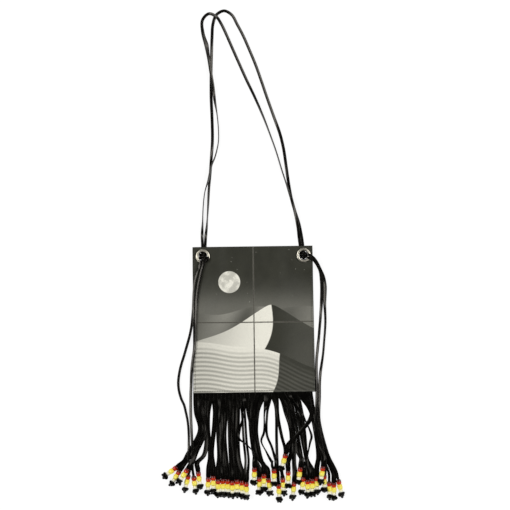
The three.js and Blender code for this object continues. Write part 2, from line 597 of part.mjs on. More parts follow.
/** One strand of the fringe, from the header down through its beads to its knot. */
function strand(place, k, pitch) {
  const hemX = HEADER_SHIFT + (k + 0.5 - STRAND_COUNT / 2) * pitch + crowding(k);
  const hemWidth = pitch - SLIT_WIDTH;
  const run = beadRun(place.bead, place.lean, LEVEL[place.on]);
  const lift = place.over ? CROSSING_LIFT : (k % 2) * STRAND_STAGGER;
  const lowest = STRAND_Z + lift;
  const raised = (share) => lowest + share * (LEVEL[place.on] - lowest);
  const via = place.via.map((point) => fringePoint(point, lowest));
  const climb = run.along(-LEAD_IN);
  climb.z = raised(CLIMB_SHARE);
  if (place.on === 'heap') {
    climb.z = raised(HEAP_CLIMB_SHARE);
    via.at(-1).z = raised(HEAP_VIA_SHARE);
  }
  const headerZ = HEADER_BOTTOM + FRINGE_THICKNESS / 2;
  const points = [
    new THREE.Vector3(hemX, HEM_Y + HEADER_DEPTH / 2, headerZ),
    new THREE.Vector3(hemX, HEM_Y - HEADER_DEPTH / 4, headerZ),
    ...via,
    climb,
    run.along(-STRAIGHT_IN),
    run.start,
    run.along(STACK_LENGTH),
    run.knot,
    run.tip,
  ];
  const path = new THREE.CatmullRomCurve3(points);
  const climbAt = points.indexOf(climb);
  const stations = points.flatMap((point, n) => {
    const share = Math.min(1, n / climbAt);
    const width = hemWidth + (STRAND_BEAD_WIDTH - hemWidth) * share;
    const curved = n > 0 && n < climbAt;
    const between = path.getPoint((n + 0.5) / (points.length - 1));
    between.z = Math.max(between.z, lowest);
    return curved ? [{ point, width }, { point: between, width }] : [{ point, width }];
  });
  return solidOf(ribbon(stations)).add(solidOf(knotLump(run.knot)));
}

/** The whole fringe: the header and every strand cut from it. */
function fringe() {
  const width = BOTTOM_WIDTH - 2 * HEADER_INSET;
  const pitch = width / STRAND_COUNT;
  const header = new THREE.BoxGeometry(width, HEADER_DEPTH, FRINGE_THICKNESS);
  header.translate(HEADER_SHIFT, HEM_Y + HEADER_DEPTH / 2, HEADER_BOTTOM + FRINGE_THICKNESS / 2);
  const solids = STRANDS.map((place, k) => strand(place, k, pitch));
  return geometryOf(solids.reduce((whole, next) => whole.add(next), solidOf(header)));
}

/** A lace end: its route, then straight through its beads to its knot. */
function tail({ route, bead, lean }) {
  const run = beadRun(bead, lean, LEVEL.floor);
  const points = [
    ...route.map((point) => new THREE.Vector3(...point)),
    run.along(-LEAD_IN),
    run.start,
    run.along(STACK_LENGTH),
    run.knot,
    run.tip,
  ];
  return geometryOf(solidOf(lace(points)).add(solidOf(knotLump(run.knot))));
}

/** A named piece with its own material. */
function piece(name, geometry, finish) {
  const mesh = new THREE.Mesh(geometry, new THREE.MeshStandardMaterial(finish));
  mesh.name = name;
  return mesh;
}

/** A stack of beads laid along its strand. */
function placedStack(name, run) {
  const mesh = piece(name, beadStack(), FINISH.bead);
  mesh.position.copy(run.start);
  mesh.quaternion.setFromUnitVectors(new THREE.Vector3(0, 1, 0), run.direction);
  return mesh;
}

const pouch = new THREE.Group();
pouch.add(
  piece('front_upper_left', pierced(frontPanel(-1, 1), EYELETS.left), FINISH.charcoal),
  piece('front_upper_right', pierced(frontPanel(1, 1), EYELETS.right), FINISH.charcoal),
  piece('front_lower_left', frontPanel(-1, -1), FINISH.cream),
  piece('front_lower_right', frontPanel(1, -1), FINISH.cream),
  piece('back_panel', backPanel(), FINISH.charcoal),
);

const strap = new THREE.Group();
for (const [side, eye] of Object.entries(EYELETS)) {
  const corner = new THREE.Group();
  corner.position.set(eye.x, eye.y, 0);
  corner.add(
    piece(`${side}_eyelet`, eyelet(), FINISH.nickel),
    piece(`${side}_eyelet_washer`, washer(), FINISH.nickel),
    piece(`${side}_strap_knot`, strapKnot(), FINISH.blackLeather),
  );
  strap.add(corner);
}
const vectors = (route) => route.map((point) => new THREE.Vector3(...point));
strap.add(
  piece('strap_lace_under', lace(vectors(STRAP_UNDER_ROUTE)), FINISH.blackLeather),
  piece('strap_lace_over', lace(vectors(STRAP_OVER_ROUTE)), FINISH.blackLeather),
);
for (const [name, end] of Object.entries(TAILS)) {
  strap.add(
    piece(name, tail(end), FINISH.blackLeather),
    placedStack(`${name}_beads`, beadRun(end.bead, end.lean, LEVEL.floor)),
  );
}

const beadedFringe = new THREE.Group();
beadedFringe.add(piece('fringe', fringe(), FINISH.blackLeather));
STRANDS.forEach((place, k) => {
  const number = String(k + 1).padStart(2, '0');
  beadedFringe.add(placedStack(`fringe_beads_${number}`, beadRun(place.bead, place.lean, LEVEL[place.on])));
});

const bag = new THREE.Group();
bag.add(pouch, strap, beadedFringe);

export default bag;
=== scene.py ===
"""Looks of a fringed leather crossbody bag that lies on its back on a pale floor.

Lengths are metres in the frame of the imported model: X across the bag, Y towards the strap, Z up.
"""

import logging
import math
from dataclasses import dataclass, field
from enum import Enum
from typing import Mapping, Sequence, Union

import bpy
import numpy as np
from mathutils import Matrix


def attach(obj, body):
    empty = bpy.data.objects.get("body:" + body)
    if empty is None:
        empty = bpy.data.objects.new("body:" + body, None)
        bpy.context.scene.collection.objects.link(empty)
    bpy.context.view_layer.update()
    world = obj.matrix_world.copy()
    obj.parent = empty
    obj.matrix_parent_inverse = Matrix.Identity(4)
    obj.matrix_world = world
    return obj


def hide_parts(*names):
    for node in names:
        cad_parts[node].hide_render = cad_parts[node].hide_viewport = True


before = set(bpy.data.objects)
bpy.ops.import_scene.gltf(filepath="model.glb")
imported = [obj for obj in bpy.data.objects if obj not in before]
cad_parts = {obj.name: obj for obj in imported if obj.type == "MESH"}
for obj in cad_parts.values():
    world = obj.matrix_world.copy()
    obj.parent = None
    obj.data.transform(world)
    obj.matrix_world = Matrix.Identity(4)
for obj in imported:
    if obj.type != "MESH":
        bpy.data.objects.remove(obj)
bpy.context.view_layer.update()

LOG = logging.getLogger("bag")
Array = np.ndarray
Colour = tuple[float, float, float]
Material = bpy.types.Material
Node = bpy.types.Node
Piece = bpy.types.Object
Socket = bpy.types.NodeSocket
Tree = bpy.types.NodeTree
Feed = Union[Socket, float, Sequence[float]]
ROOT = "root"
SEED = 11
MM = 0.001
FULL_TURN = 2.0 * math.pi
UP = np.array([0.0, 0.0, 1.0])
FLAT_HEIGHT_MM = 1.3
FINE_STEPS = 40
EDGE_STEPS = 6
BLUNT_END = 0.97


def ramp(t: Array) -> Array:
    """Smooth step: 0 up to t = 0, 1 from t = 1, and 3t^2 - 2t^3 between."""
    u = np.clip(t, 0.0, 1.0)
    return u * u * (3.0 - 2.0 * u)


def unit(vectors: Array) -> Array:
    """Vectors scaled to length 1."""
    return vectors / np.linalg.norm(vectors, axis=-1, keepdims=True)


@dataclass
class Surface:
    """Points and faces of one piece.

    Attributes:
        points: one row of three for each point.
        faces: arrays of point indices, one row for each face; each array has its own number of corners.
        values: numbers held at the points, by name.
        slots: the material slot of each face, or nothing where there is one material.
    """

    points: Array
    faces: list[Array]
    values: dict[str, Array] = field(default_factory=dict)
    slots: Array | None = None

    def facing_out(self) -> "Surface":
        """Turns every face round if the enclosed volume comes out negative.

        Returns:
            The surface itself.
        """
        volume = 0.0
        for face in self.faces:
            corner = self.points[face]
            for k in range(1, face.shape[1] - 1):
                volume += np.einsum("ij,ij->", corner[:, 0], np.cross(corner[:, k], corner[:, k + 1]))
        if volume < 0.0:
            self.faces = [face[:, ::-1] for face in self.faces]
        return self

    def laid_down(self) -> "Surface":
        """Tips the surface over, so that its Z axis lies along Y: (x, y, z) becomes (x, z, -y)."""
        self.points = self.points[:, [0, 2, 1]] * [1.0, 1.0, -1.0]
        return self

    def repeated(self, origins: Array, axes: Array) -> "Surface":
        """Copies of the surface at many places, as one surface.

        Args:
            origins: one row of three for each copy.
            axes: for each copy, three rows: where its x, y and z point.
        Returns:
            The copies; every point is origin + x * first row + y * second row + z * third row.
        """
        count, size = len(origins), len(self.points)
        points = origins[:, None] + np.einsum("vi,kij->kvj", self.points, axes)
        shift = (np.arange(count) * size)[:, None, None]
        faces = [(face[None] + shift).reshape(-1, face.shape[1]) for face in self.faces]
        values = {name: np.tile(value, count) for name, value in self.values.items()}
        return Surface(points.reshape(-1, 3), faces, values)

    @staticmethod
    def joined(parts: Sequence["Surface"], slots: Sequence[int] | None = None) -> "Surface":
        """Several surfaces as one.

        Args:
            parts: the surfaces, which hold values of the same names.
            slots: the material slot of each surface, if they differ.
        Returns:
            One surface with all points and faces.
        """
        shifts = np.cumsum([0] + [len(part.points) for part in parts[:-1]])
        faces = [face + shift for part, shift in zip(parts, shifts) for face in part.faces]
        values = {name: np.concatenate([part.values[name] for part in parts]) for name in parts[0].values}
        chosen = slots if slots is not None else [0] * len(parts)
        slot = np.concatenate([np.full(len(face), s) for part, s in zip(parts, chosen) for face in part.faces])
        return Surface(np.concatenate([part.points for part in parts]), faces, values, slot)

    def to_object(self, name: str, materials: Sequence[Material]) -> Piece:
        """Makes a smooth-shaded object with its place in its mesh.

        Args:
            name: the piece's name.
            materials: one for each slot.
        Returns:
            The object, linked to the scene.
        """
        mesh = bpy.data.meshes.new(name)
        corners = np.concatenate([face.ravel() for face in self.faces]).astype(np.int32)
        sizes = np.concatenate([np.full(len(face), face.shape[1]) for face in self.faces])
        starts = np.concatenate([[0], np.cumsum(sizes)[:-1]]).astype(np.int32)
        mesh.vertices.add(len(self.points))
        mesh.vertices.foreach_set("co", self.points.astype(np.float32).ravel())
        mesh.loops.add(len(corners))
        mesh.loops.foreach_set("vertex_index", corners)
        mesh.polygons.add(len(starts))
        mesh.polygons.foreach_set("loop_start", starts)
        mesh.polygons.foreach_set("use_smooth", np.ones(len(starts), dtype=bool))
        if self.slots is not None:
            mesh.polygons.foreach_set("material_index", self.slots.astype(np.int32))
        for label, value in self.values.items():
            store = mesh.attributes.new(label, "FLOAT", "POINT")
            store.data.foreach_set("value", value.astype(np.float32))
        mesh.update(calc_edges=True)
        mesh.validate()
        for material in materials:
            mesh.materials.append(material)
        made = bpy.data.objects.new(name, mesh)
        bpy.context.scene.collection.objects.link(made)
        return made


def ring_quads(rings: int, around: int, closed: bool) -> Array:
    """Quads of a tube: quad (i, j) joins points j and j + 1 of ring i to those of ring i + 1.

    Args:
        rings: number of rings.
        around: points in each ring, which closes on itself.
        closed: whether the last ring joins the first.
    Returns:
        One row of four point indices for each quad.
    """
    i, j = np.meshgrid(np.arange(rings if closed else rings - 1), np.arange(around), indexing="ij")
    after, beside = (i + 1) % rings, (j + 1) % around
    quads = np.stack([i * around + j, i * around + beside, after * around + beside, after * around + j], -1)
    return quads.reshape(-1, 4)


def turned(profile: Array, segments: int) -> Surface:
    """A closed profile of (radius, height) carried round the Z axis.

    Args:
        profile: the points of a closed line, one row each.
        segments: steps of the full turn.
    Returns:
        The ring: point (i, j) is profile point j turned by i steps.
    """
    angle = np.linspace(0.0, FULL_TURN, segments, endpoint=False)[:, None]
    radius, height = profile[:, 0], np.broadcast_to(profile[:, 1], (segments, len(profile)))
    points = np.stack([radius * np.cos(angle), radius * np.sin(angle), height], -1)
    return Surface(points.reshape(-1, 3), [ring_quads(segments, len(profile), True)]).facing_out()


def trefoil(steps: int) -> tuple[Array, Array]:
    """Angles t, and a trefoil that reaches 1: x = (sin t + 2 sin 2t) / 3, y = (cos t - 2 cos 2t) / 3."""
    t = np.linspace(0.0, FULL_TURN, steps, endpoint=False)
    return t, np.stack([np.sin(t) + 2.0 * np.sin(2.0 * t), np.cos(t) - 2.0 * np.cos(2.0 * t)], -1) / 3.0


def smooth_path(points: Array, step: float) -> Array:
    """A smooth line through points, at even steps.

    Between two points it is a cubic with centripetal slopes, sampled finely and then read off at equal
    distances along its length.

    Args:
        points: the points that it passes.
        step: distance between two points of the result.
    Returns:
        The line's points.
    """
    ends = np.concatenate([[2 * points[0] - points[1]], points, [2 * points[-1] - points[-2]]])
    gap = np.sqrt(np.linalg.norm(np.diff(ends, axis=0), axis=1))[:, None]
    slope = np.diff(ends, axis=0) / gap
    wide = (ends[2:] - ends[:-2]) / (gap[1:] + gap[:-1])
    tangent = slope[:-1] - wide + slope[1:]
    t = np.linspace(0.0, 1.0, FINE_STEPS, endpoint=False)[None, :, None]
    span = gap[1:-1][:, None]
    start, stop = points[:-1][:, None], points[1:][:, None]
    fine = (
        (2 * t**3 - 3 * t**2 + 1) * start
        + (t**3 - 2 * t**2 + t) * span * tangent[:-1][:, None]
        + (3 * t**2 - 2 * t**3) * stop
        + (t**3 - t**2) * span * tangent[1:][:, None]
    ).reshape(-1, 3)
    fine = np.concatenate([fine, points[-1:]])
    along = distances(fine)
    wanted = np.linspace(0.0, along[-1], max(3, round(along[-1] / step) + 1))
    return np.stack([np.interp(wanted, along, fine[:, axis]) for axis in range(3)], -1)


def distances(path: Array) -> Array:
    """Distance along a path at each of its points."""
    return np.concatenate([[0.0], np.cumsum(np.linalg.norm(np.diff(path, axis=0), axis=1))])


def lying_frame(path: Array, roll: Array) -> tuple[Array, Array]:
    """Directions across and up from a band that follows a path.

    At roll 0 the band lies flat: across is level and square to the path. The roll turns both about it.

    Args:
        path: the points of the path.
        roll: angle at each point, in radians.
    Returns:
        Unit vectors across the band and out of its flat side.
    """
    tangent = unit(np.gradient(path, axis=0))
    level = unit(np.cross(UP, tangent))
    above = np.cross(tangent, level)
    turn_cos, turn_sin = np.cos(roll)[:, None], np.sin(roll)[:, None]
    return level * turn_cos + above * turn_sin, above * turn_cos - level * turn_sin


def band_outline(width: float, thickness: float, points: int = 16, squareness: float = 4.0) -> Array:
    """Outline of a flat band: |2x / width|^n + |2y / thickness|^n = 1, with n the squareness.

    Args:
        width, thickness: its size.
        points: number of points.
        squareness: the power n, which is 2 for an oval.
    Returns:
        One row of (x, y) for each point.
    """
    angle = (np.arange(points) + 0.5) * FULL_TURN / points
    power = 2.0 / squareness
    x = np.sign(np.cos(angle)) * np.abs(np.cos(angle)) ** power * width / 2.0
    y = np.sign(np.sin(angle)) * np.abs(np.sin(angle)) ** power * thickness / 2.0
    return np.stack([x, y], -1)


def strip_outline(width: float, thickness: float) -> Array:
    """Outline of a cut leather strip: two flat faces with narrow rounded edges, twelve points in all.

    Args:
        width, thickness: its size.
    Returns:
        One row of (x, y) for each point.
    """
    quarter = np.array([[1.0, 0.45], [0.945, 0.9], [0.83, 1.0]])
    left = quarter[::-1] * [-1.0, 1.0]
    upper = np.concatenate([quarter, left])
    return np.concatenate([upper, -upper]) * [width / 2.0, thickness / 2.0]


def swept(path: Array, roll: Array, outline: Array, scale: Array | None = None, closed: bool = False) -> Surface:
    """An outline carried along a path: point (i, j) is path i + across * x_j * scale + up * y_j * scale.

    Args:
        path: the points of the path.
        roll: the band's roll at each point, in radians.
        outline: the band's outline, one row of (x, y) for each point.
        scale: factors for x and for y at each point of the path, or nothing for 1.
        closed: whether the end joins the start.
    Returns:
        The band, with its length held as the value along, and closed by a face at each end.
    """
    across, above = lying_frame(path, roll)
    scale = np.ones((len(path), 2)) if scale is None else scale
    x = outline[None, :, 0] * scale[:, :1]
    y = outline[None, :, 1] * scale[:, 1:]
    points = path[:, None] + across[:, None] * x[..., None] + above[:, None] * y[..., None]
    rings, around = points.shape[:2]
    faces = [ring_quads(rings, around, closed)]
    if not closed:
        faces.append(np.stack([np.arange(around)[::-1], np.arange(around) + (rings - 1) * around]))
    along = np.repeat(distances(path), around)
    return Surface(points.reshape(-1, 3), faces, {"along": along}).facing_out()


def rounded_ends(path: Array, length: float) -> Array:
    """Scale factors that round off both ends of a band over a length: a quarter circle each.

    Args:
        path: the points of the path.
        length: how far each end is rounded.
    Returns:
        The factors for x and y at each point.
    """
    along = distances(path)
    near = np.minimum(along, along[-1] - along) / length
    inside = np.clip(1.0 - near, 0.0, BLUNT_END)
    return np.repeat(np.sqrt(1.0 - inside**2)[:, None], 2, axis=1)


@dataclass(frozen=True)
class Hole:
    """A round hole through a sheet."""

    x: float
    y: float
    radius: float


def closed_sheet(top: Array, under: Array, values: Mapping[str, Array], holes: Sequence[Hole]) -> Surface:
    """A sheet with two sides that meet along its outer edge.

    Cells of the grid whose middle lies in a hole are left out, the points around them move out to the
    hole's circle, and a wall joins the two sides there.

    Args:
        top: grid of points of the upper side.
        under: grid of points of the lower side; its outer edge is taken from the upper side.
        values: numbers for each grid point, used on both sides.
        holes: the holes.
    Returns:
        The closed sheet.
    """
    top, under = top.copy(), under.copy()
    rows, columns = top.shape[:2]
    middle = 0.25 * (top[:-1, :-1] + top[1:, :-1] + top[1:, 1:] + top[:-1, 1:])
    kept = np.ones((rows - 1, columns - 1), dtype=bool)
    for hole in holes:
        centre = np.array([hole.x, hole.y])
        cut = np.linalg.norm(middle[..., :2] - centre, axis=-1) < hole.radius
        kept &= ~cut
        wide = np.pad(cut, 1)
        touched = wide[:-1, :-1] | wide[1:, :-1] | wide[:-1, 1:] | wide[1:, 1:]
        for side in (top, under):
            away = side[..., :2] - centre
            reach = np.maximum(np.linalg.norm(away, axis=-1, keepdims=True), 1e-9)
            side[..., :2] = np.where(touched[..., None], centre + away / reach * hole.radius, side[..., :2])
    upper = np.arange(rows * columns).reshape(rows, columns)
    lower = upper + rows * columns
    for edge in (np.s_[0, :], np.s_[-1, :], np.s_[:, 0], np.s_[:, -1]):
        lower[edge] = upper[edge]
    faces = []
    for index, order in ((upper, 1), (lower, -1)):
        quads = np.stack([index[:-1, :-1], index[1:, :-1], index[1:, 1:], index[:-1, 1:]], -1)[kept]
        faces.append(quads[:, ::order])
    below = lower.ravel()
    for first, second, start, stop in (
        (kept[:-1], kept[1:], upper[1:-1, :-1], upper[1:-1, 1:]),
        (kept[:, :-1], kept[:, 1:], upper[1:, 1:-1], upper[:-1, 1:-1]),
    ):
        for rim, a, b in ((first & ~second, start, stop), (second & ~first, stop, start)):
            faces.append(np.stack([b[rim], a[rim], below[a[rim]], below[b[rim]]], -1))
    used, fresh = np.unique(np.concatenate([face.ravel() for face in faces]), return_inverse=True)
    counts = np.cumsum([0] + [face.size for face in faces])
    faces = [fresh[counts[k]:counts[k + 1]].reshape(face.shape) for k, face in enumerate(faces)]
    points = np.concatenate([top.reshape(-1, 3), under.reshape(-1, 3)])[used]
    held = {name: np.tile(value.ravel(), 2)[used] for name, value in values.items()}
    return Surface(points, [face for face in faces if len(face)], held).facing_out()


def edge_stations(length: float, spacing: float, near: float, far: float) -> Array:
    """Shares of a length, crowded over a rounded edge at each end.

    Over an edge of radius r they are r * (1 - cos a) for even angles a, and evenly spaced between.

    Args:
        length: the whole length.
        spacing: distance between two places in the middle.
        near: radius of the edge at the start.
        far: radius of the edge at the end.
    Returns:
        Shares from 0 to 1.
    """
    arc = 1.0 - np.cos(np.linspace(0.0, math.pi / 2.0, EDGE_STEPS))
    count = round((length - near - far) / spacing) + 1
    middle = np.linspace(near, length - far, count)
    return np.concatenate([near * arc[:-1], middle, length - far * arc[:-1][::-1]]) / length


def quarter_round(distance: Array, radius: float) -> Array:
    """Drop of a rounded edge, from 1 at the edge to 0 at its radius: 1 - sqrt(1 - (1 - d/r)^2)."""
    inside = np.clip(1.0 - distance / radius, 0.0, 1.0)
    return 1.0 - np.sqrt(1.0 - inside**2)


class Graph:
    """Adds nodes to one node tree and wires them."""

    def __init__(self, tree: Tree) -> None:
        """Keeps the tree that the nodes go into."""
        self.tree = tree

    def feed(self, node: Node, feeds: Mapping[Union[str, int], Feed]) -> Node:
        """Feeds a node's inputs.

        Args:
            node: the node.
            feeds: what goes into each input: another node's output, or a fixed number or colour.
        Returns:
            The node.
        """
        for key, feed in feeds.items():
            if isinstance(feed, Socket):
                self.tree.links.new(feed, node.inputs[key])
            else:
                node.inputs[key].default_value = feed
        return node

    def add(self, kind: str, feeds: Mapping[Union[str, int], Feed] | None = None, **settings: object) -> Node:
        """Adds a node.

        Args:
            kind: the node's type.
            feeds: what goes into its inputs.
            settings: its own settings.
        Returns:
            The node.
        """
        node = self.tree.nodes.new(kind)
        for name, value in settings.items():
            setattr(node, name, value)
        return self.feed(node, feeds or {})

    def math(self, operation: str, a: Feed, b: Feed = 0.0, clamp: bool = False) -> Socket:
        """Output of a Math node."""
        return self.add("ShaderNodeMath", {0: a, 1: b}, operation=operation, use_clamp=clamp).outputs[0]

    def times(self, a: Feed, b: Feed) -> Socket:
        """a * b."""
        return self.math("MULTIPLY", a, b)

    def plus(self, a: Feed, b: Feed, share: Feed, clamp: bool = False) -> Socket:
        """a + b * share."""
        return self.math("ADD", a, self.times(b, share), clamp)

    def blend(self, share: Feed, a: Feed, b: Feed) -> Socket:
        """A number between a and b."""
        return self.add("ShaderNodeMix", {0: share, 2: a, 3: b}, data_type="FLOAT").outputs[0]

    def tint(self, share: Feed, a: Feed, b: Feed) -> Socket:
        """A colour mixed from a and b."""
        return self.add("ShaderNodeMix", {0: share, 6: a, 7: b}, data_type="RGBA").outputs[2]

    def step(self, value: Feed, low: float, high: float, out_low: float = 0.0, out_high: float = 1.0) -> Socket:
        """A smooth step of a value from low to high."""
        feeds = {0: value, 1: low, 2: high, 3: out_low, 4: out_high}
        return self.add("ShaderNodeMapRange", feeds, interpolation_type="SMOOTHSTEP").outputs[0]

    def held(self, name: str) -> Socket:
        """A number that the mesh holds at its points."""
        return self.add("ShaderNodeAttribute", attribute_name=name).outputs["Fac"]

    def place(self) -> Socket:
        """The surface point in the object's own coordinates."""
        return self.add("ShaderNodeTexCoord").outputs["Object"]

    def noise(self, place: Socket, scale: Feed, detail: float) -> Socket:
        """Soft noise from 0 to 1 of that many waves in a metre."""
        return self.add("ShaderNodeTexNoise", {"Vector": place, "Scale": scale, "Detail": detail}).outputs[0]

    def bump(self, height: Feed, strength: float, depth: float) -> Socket:
        """A normal bent by a height."""
        return self.add("ShaderNodeBump", {"Height": height, "Strength": strength, "Distance": depth}).outputs[0]

    def group(self, tree: Tree, feeds: Mapping[str, Feed]) -> Mapping[str, Socket]:
        """Outputs of a node group."""
        return self.add("ShaderNodeGroup", feeds, node_tree=tree).outputs


def new_group(
    name: str, inputs: Mapping[str, float], outputs: Sequence[str]
) -> tuple[Graph, Mapping[str, Socket], Node]:
    """Starts a shader node group of plain numbers.

    Args:
        name: the group's name.
        inputs: names and first values of its inputs.
        outputs: names of its outputs.
    Returns:
        The graph of its nodes, what comes in by name, and the node that takes what goes out.
    """
    tree = bpy.data.node_groups.new(name, "ShaderNodeTree")
    for label, value in inputs.items():
        tree.interface.new_socket(label, in_out="INPUT", socket_type="NodeSocketFloat").default_value = value
    for label in outputs:
        tree.interface.new_socket(label, in_out="OUTPUT", socket_type="NodeSocketFloat")
    return Graph(tree), tree.nodes.new("NodeGroupInput").outputs, tree.nodes.new("NodeGroupOutput")


def leather_grain_group() -> Tree:
    """Pebbled leather: cells of a Voronoi pattern, with pores between them and a slow mottle.

    Returns:
        A group with the inputs Cells (in a metre) and Crease, and the outputs Height, Pores and Mottle.
    """
    drift_waves, fine_waves, crease_waves, mottle_waves = 260.0, 5200.0, 160.0, 38.0
    drift_reach, pebble_edge, fine_share = 0.0016, 0.22, 0.25
    graph, given, result = new_group("leather_grain", {"Cells": 900.0, "Crease": 0.5}, ("Height", "Pores", "Mottle"))
    place = graph.place()
    drift = graph.add("ShaderNodeTexNoise", {"Vector": place, "Scale": drift_waves, "Detail": 2.0}).outputs[1]
    sway = graph.add("ShaderNodeVectorMath", {0: drift, 3: drift_reach}, operation="SCALE").outputs[0]
    moved = graph.add("ShaderNodeVectorMath", {0: place, 1: sway}, operation="ADD").outputs[0]
    sown = {"Vector": moved, "Scale": given["Cells"]}
    cells = graph.add("ShaderNodeTexVoronoi", sown, feature="DISTANCE_TO_EDGE").outputs[0]
    pebbles = graph.blend(fine_share, graph.step(cells, 0.0, pebble_edge), graph.noise(place, fine_waves, 2.0))
    creases = graph.step(graph.noise(moved, crease_waves, 6.0), 0.38, 0.62)
    graph.feed(result, {
        "Height": graph.plus(pebbles, creases, given["Crease"]),
        "Pores": graph.step(cells, 0.02, 0.12, 1.0, 0.0),
        "Mottle": graph.step(graph.noise(place, mottle_waves, 5.0), 0.3, 0.7),
    })
    return graph.tree


def scuff_group() -> Tree:
    """Handling marks: fine long scratches and soft rubbed patches.

    Returns:
        A group with the inputs Patches (in a metre) and Lines, and the outputs Rub and Scratch.
    """
    slant, squeeze = 0.7, 0.06
    graph, given, result = new_group("scuffs", {"Patches": 120.0, "Lines": 1400.0}, ("Rub", "Scratch"))
    place = graph.place()
    turn = {"Vector": place, "Rotation": (0.0, 0.0, slant), "Scale": (1.0, squeeze, 1.0)}
    slanted = graph.add("ShaderNodeMapping", turn).outputs[0]
    graph.feed(result, {
        "Rub": graph.step(graph.noise(place, given["Patches"], 5.0), 0.35, 0.7),
        "Scratch": graph.step(graph.noise(slanted, given["Lines"], 2.0), 0.64, 0.72),
    })
    return graph.tree


@dataclass(frozen=True)
class SharedEffects:
    """The node groups that several finishes place with their own values."""

    grain: Tree
    scuffs: Tree

    @classmethod
    def make(cls) -> "SharedEffects":
        """Builds both groups once."""
        return cls(leather_grain_group(), scuff_group())


def solid(colour: Colour, factor: float = 1.0) -> tuple[float, ...]:
    """A colour with full alpha, made lighter or darker by a factor."""
    return (*(channel * factor for channel in colour), 1.0)


class Mask(Enum):
    """What a tint follows: an output of the shared effects, a number that the mesh holds, or a leather's own mark."""

    RUB = "Rub"
    SCRATCH = "Scratch"
    HEIGHT = "Height"
    PORES = "Pores"
    MOTTLE = "Mottle"
    EDGE = "edge"
    RISE = "rise"
    DOWN = "down"
    PRINT = "print"
    SEAMS = "seams"


@dataclass(frozen=True)
class Layer:
    """A tint over a finish.

    Attributes:
        amount: its strength; for a number that the mesh holds, where it begins and where it is full.
        factor: what makes the tint lighter or darker.
    """

    mask: Mask
    amount: Union[float, tuple[float, float]]
    colour: Colour
    factor: float = 1.0


@dataclass(frozen=True)
class Finish:
    """A base colour under layers of tint, with a gloss that wear breaks up.

    Attributes:
        layers: the tints, from below.
        marks: rubbed patches and scratches in a metre.
        rough: roughness where it is smooth and where it is rubbed, and what a scratch adds.
        grain: cells of the leather grain in a metre and the strength of its creases, if it is leather.
        relief: the effect that bends the surface, if one does, its strength and its depth.
        gloss, shine: strength and colour of the reflection.
    """

    name: str
    colour: Colour
    layers: tuple[Layer, ...]
    marks: tuple[float, float]
    rough: tuple[float, float, float]
    grain: tuple[float, float] | None = None
    relief: tuple[Mask, float, float] | None = None
    gloss: float = 0.5
    shine: Colour = (1.0, 1.0, 1.0)
    metallic: float = 0.0

    def material(self, shared: SharedEffects) -> Material:
        """Builds the material from the shared effects.

        Args:
            shared: the shared node groups.
        Returns:
            The material.
        """
        material = bpy.data.materials.new(self.name)
        material.use_nodes = True
        graph, base = Graph(material.node_tree), solid(self.colour)
        effects = dict(graph.group(shared.scuffs, dict(zip(("Patches", "Lines"), self.marks))).items())
        if self.grain:
            effects |= graph.group(shared.grain, dict(zip(("Cells", "Crease"), self.grain))).items()
        for layer in self.layers:
            base = graph.tint(self.share(graph, effects, layer), base, solid(layer.colour, layer.factor))
        smooth, rubbed, scratch = self.rough
        rough = graph.plus(graph.blend(effects["Rub"], smooth, rubbed), effects["Scratch"], scratch)
        shader = graph.feed(graph.tree.nodes["Principled BSDF"], {
            "Base Color": base, "Roughness": rough, "Metallic": self.metallic,
            "Specular IOR Level": self.gloss, "Specular Tint": solid(self.shine),
        })
        if self.relief:
            source, strength, depth = self.relief
            graph.feed(shader, {"Normal": graph.bump(effects[source.value], strength, depth)})
        return material

    def share(self, graph: Graph, effects: Mapping[str, Socket], layer: Layer) -> Socket:
        """How strongly a layer shows.

        Args:
            graph: the material's graph.
            effects: the outputs of the shared effects.
            layer: the layer.
        Returns:
            Its share, from 0 to 1.
        """
        if layer.mask.value in effects:
            return graph.times(effects[layer.mask.value], layer.amount)
        return graph.step(graph.held(layer.mask.value), *layer.amount)


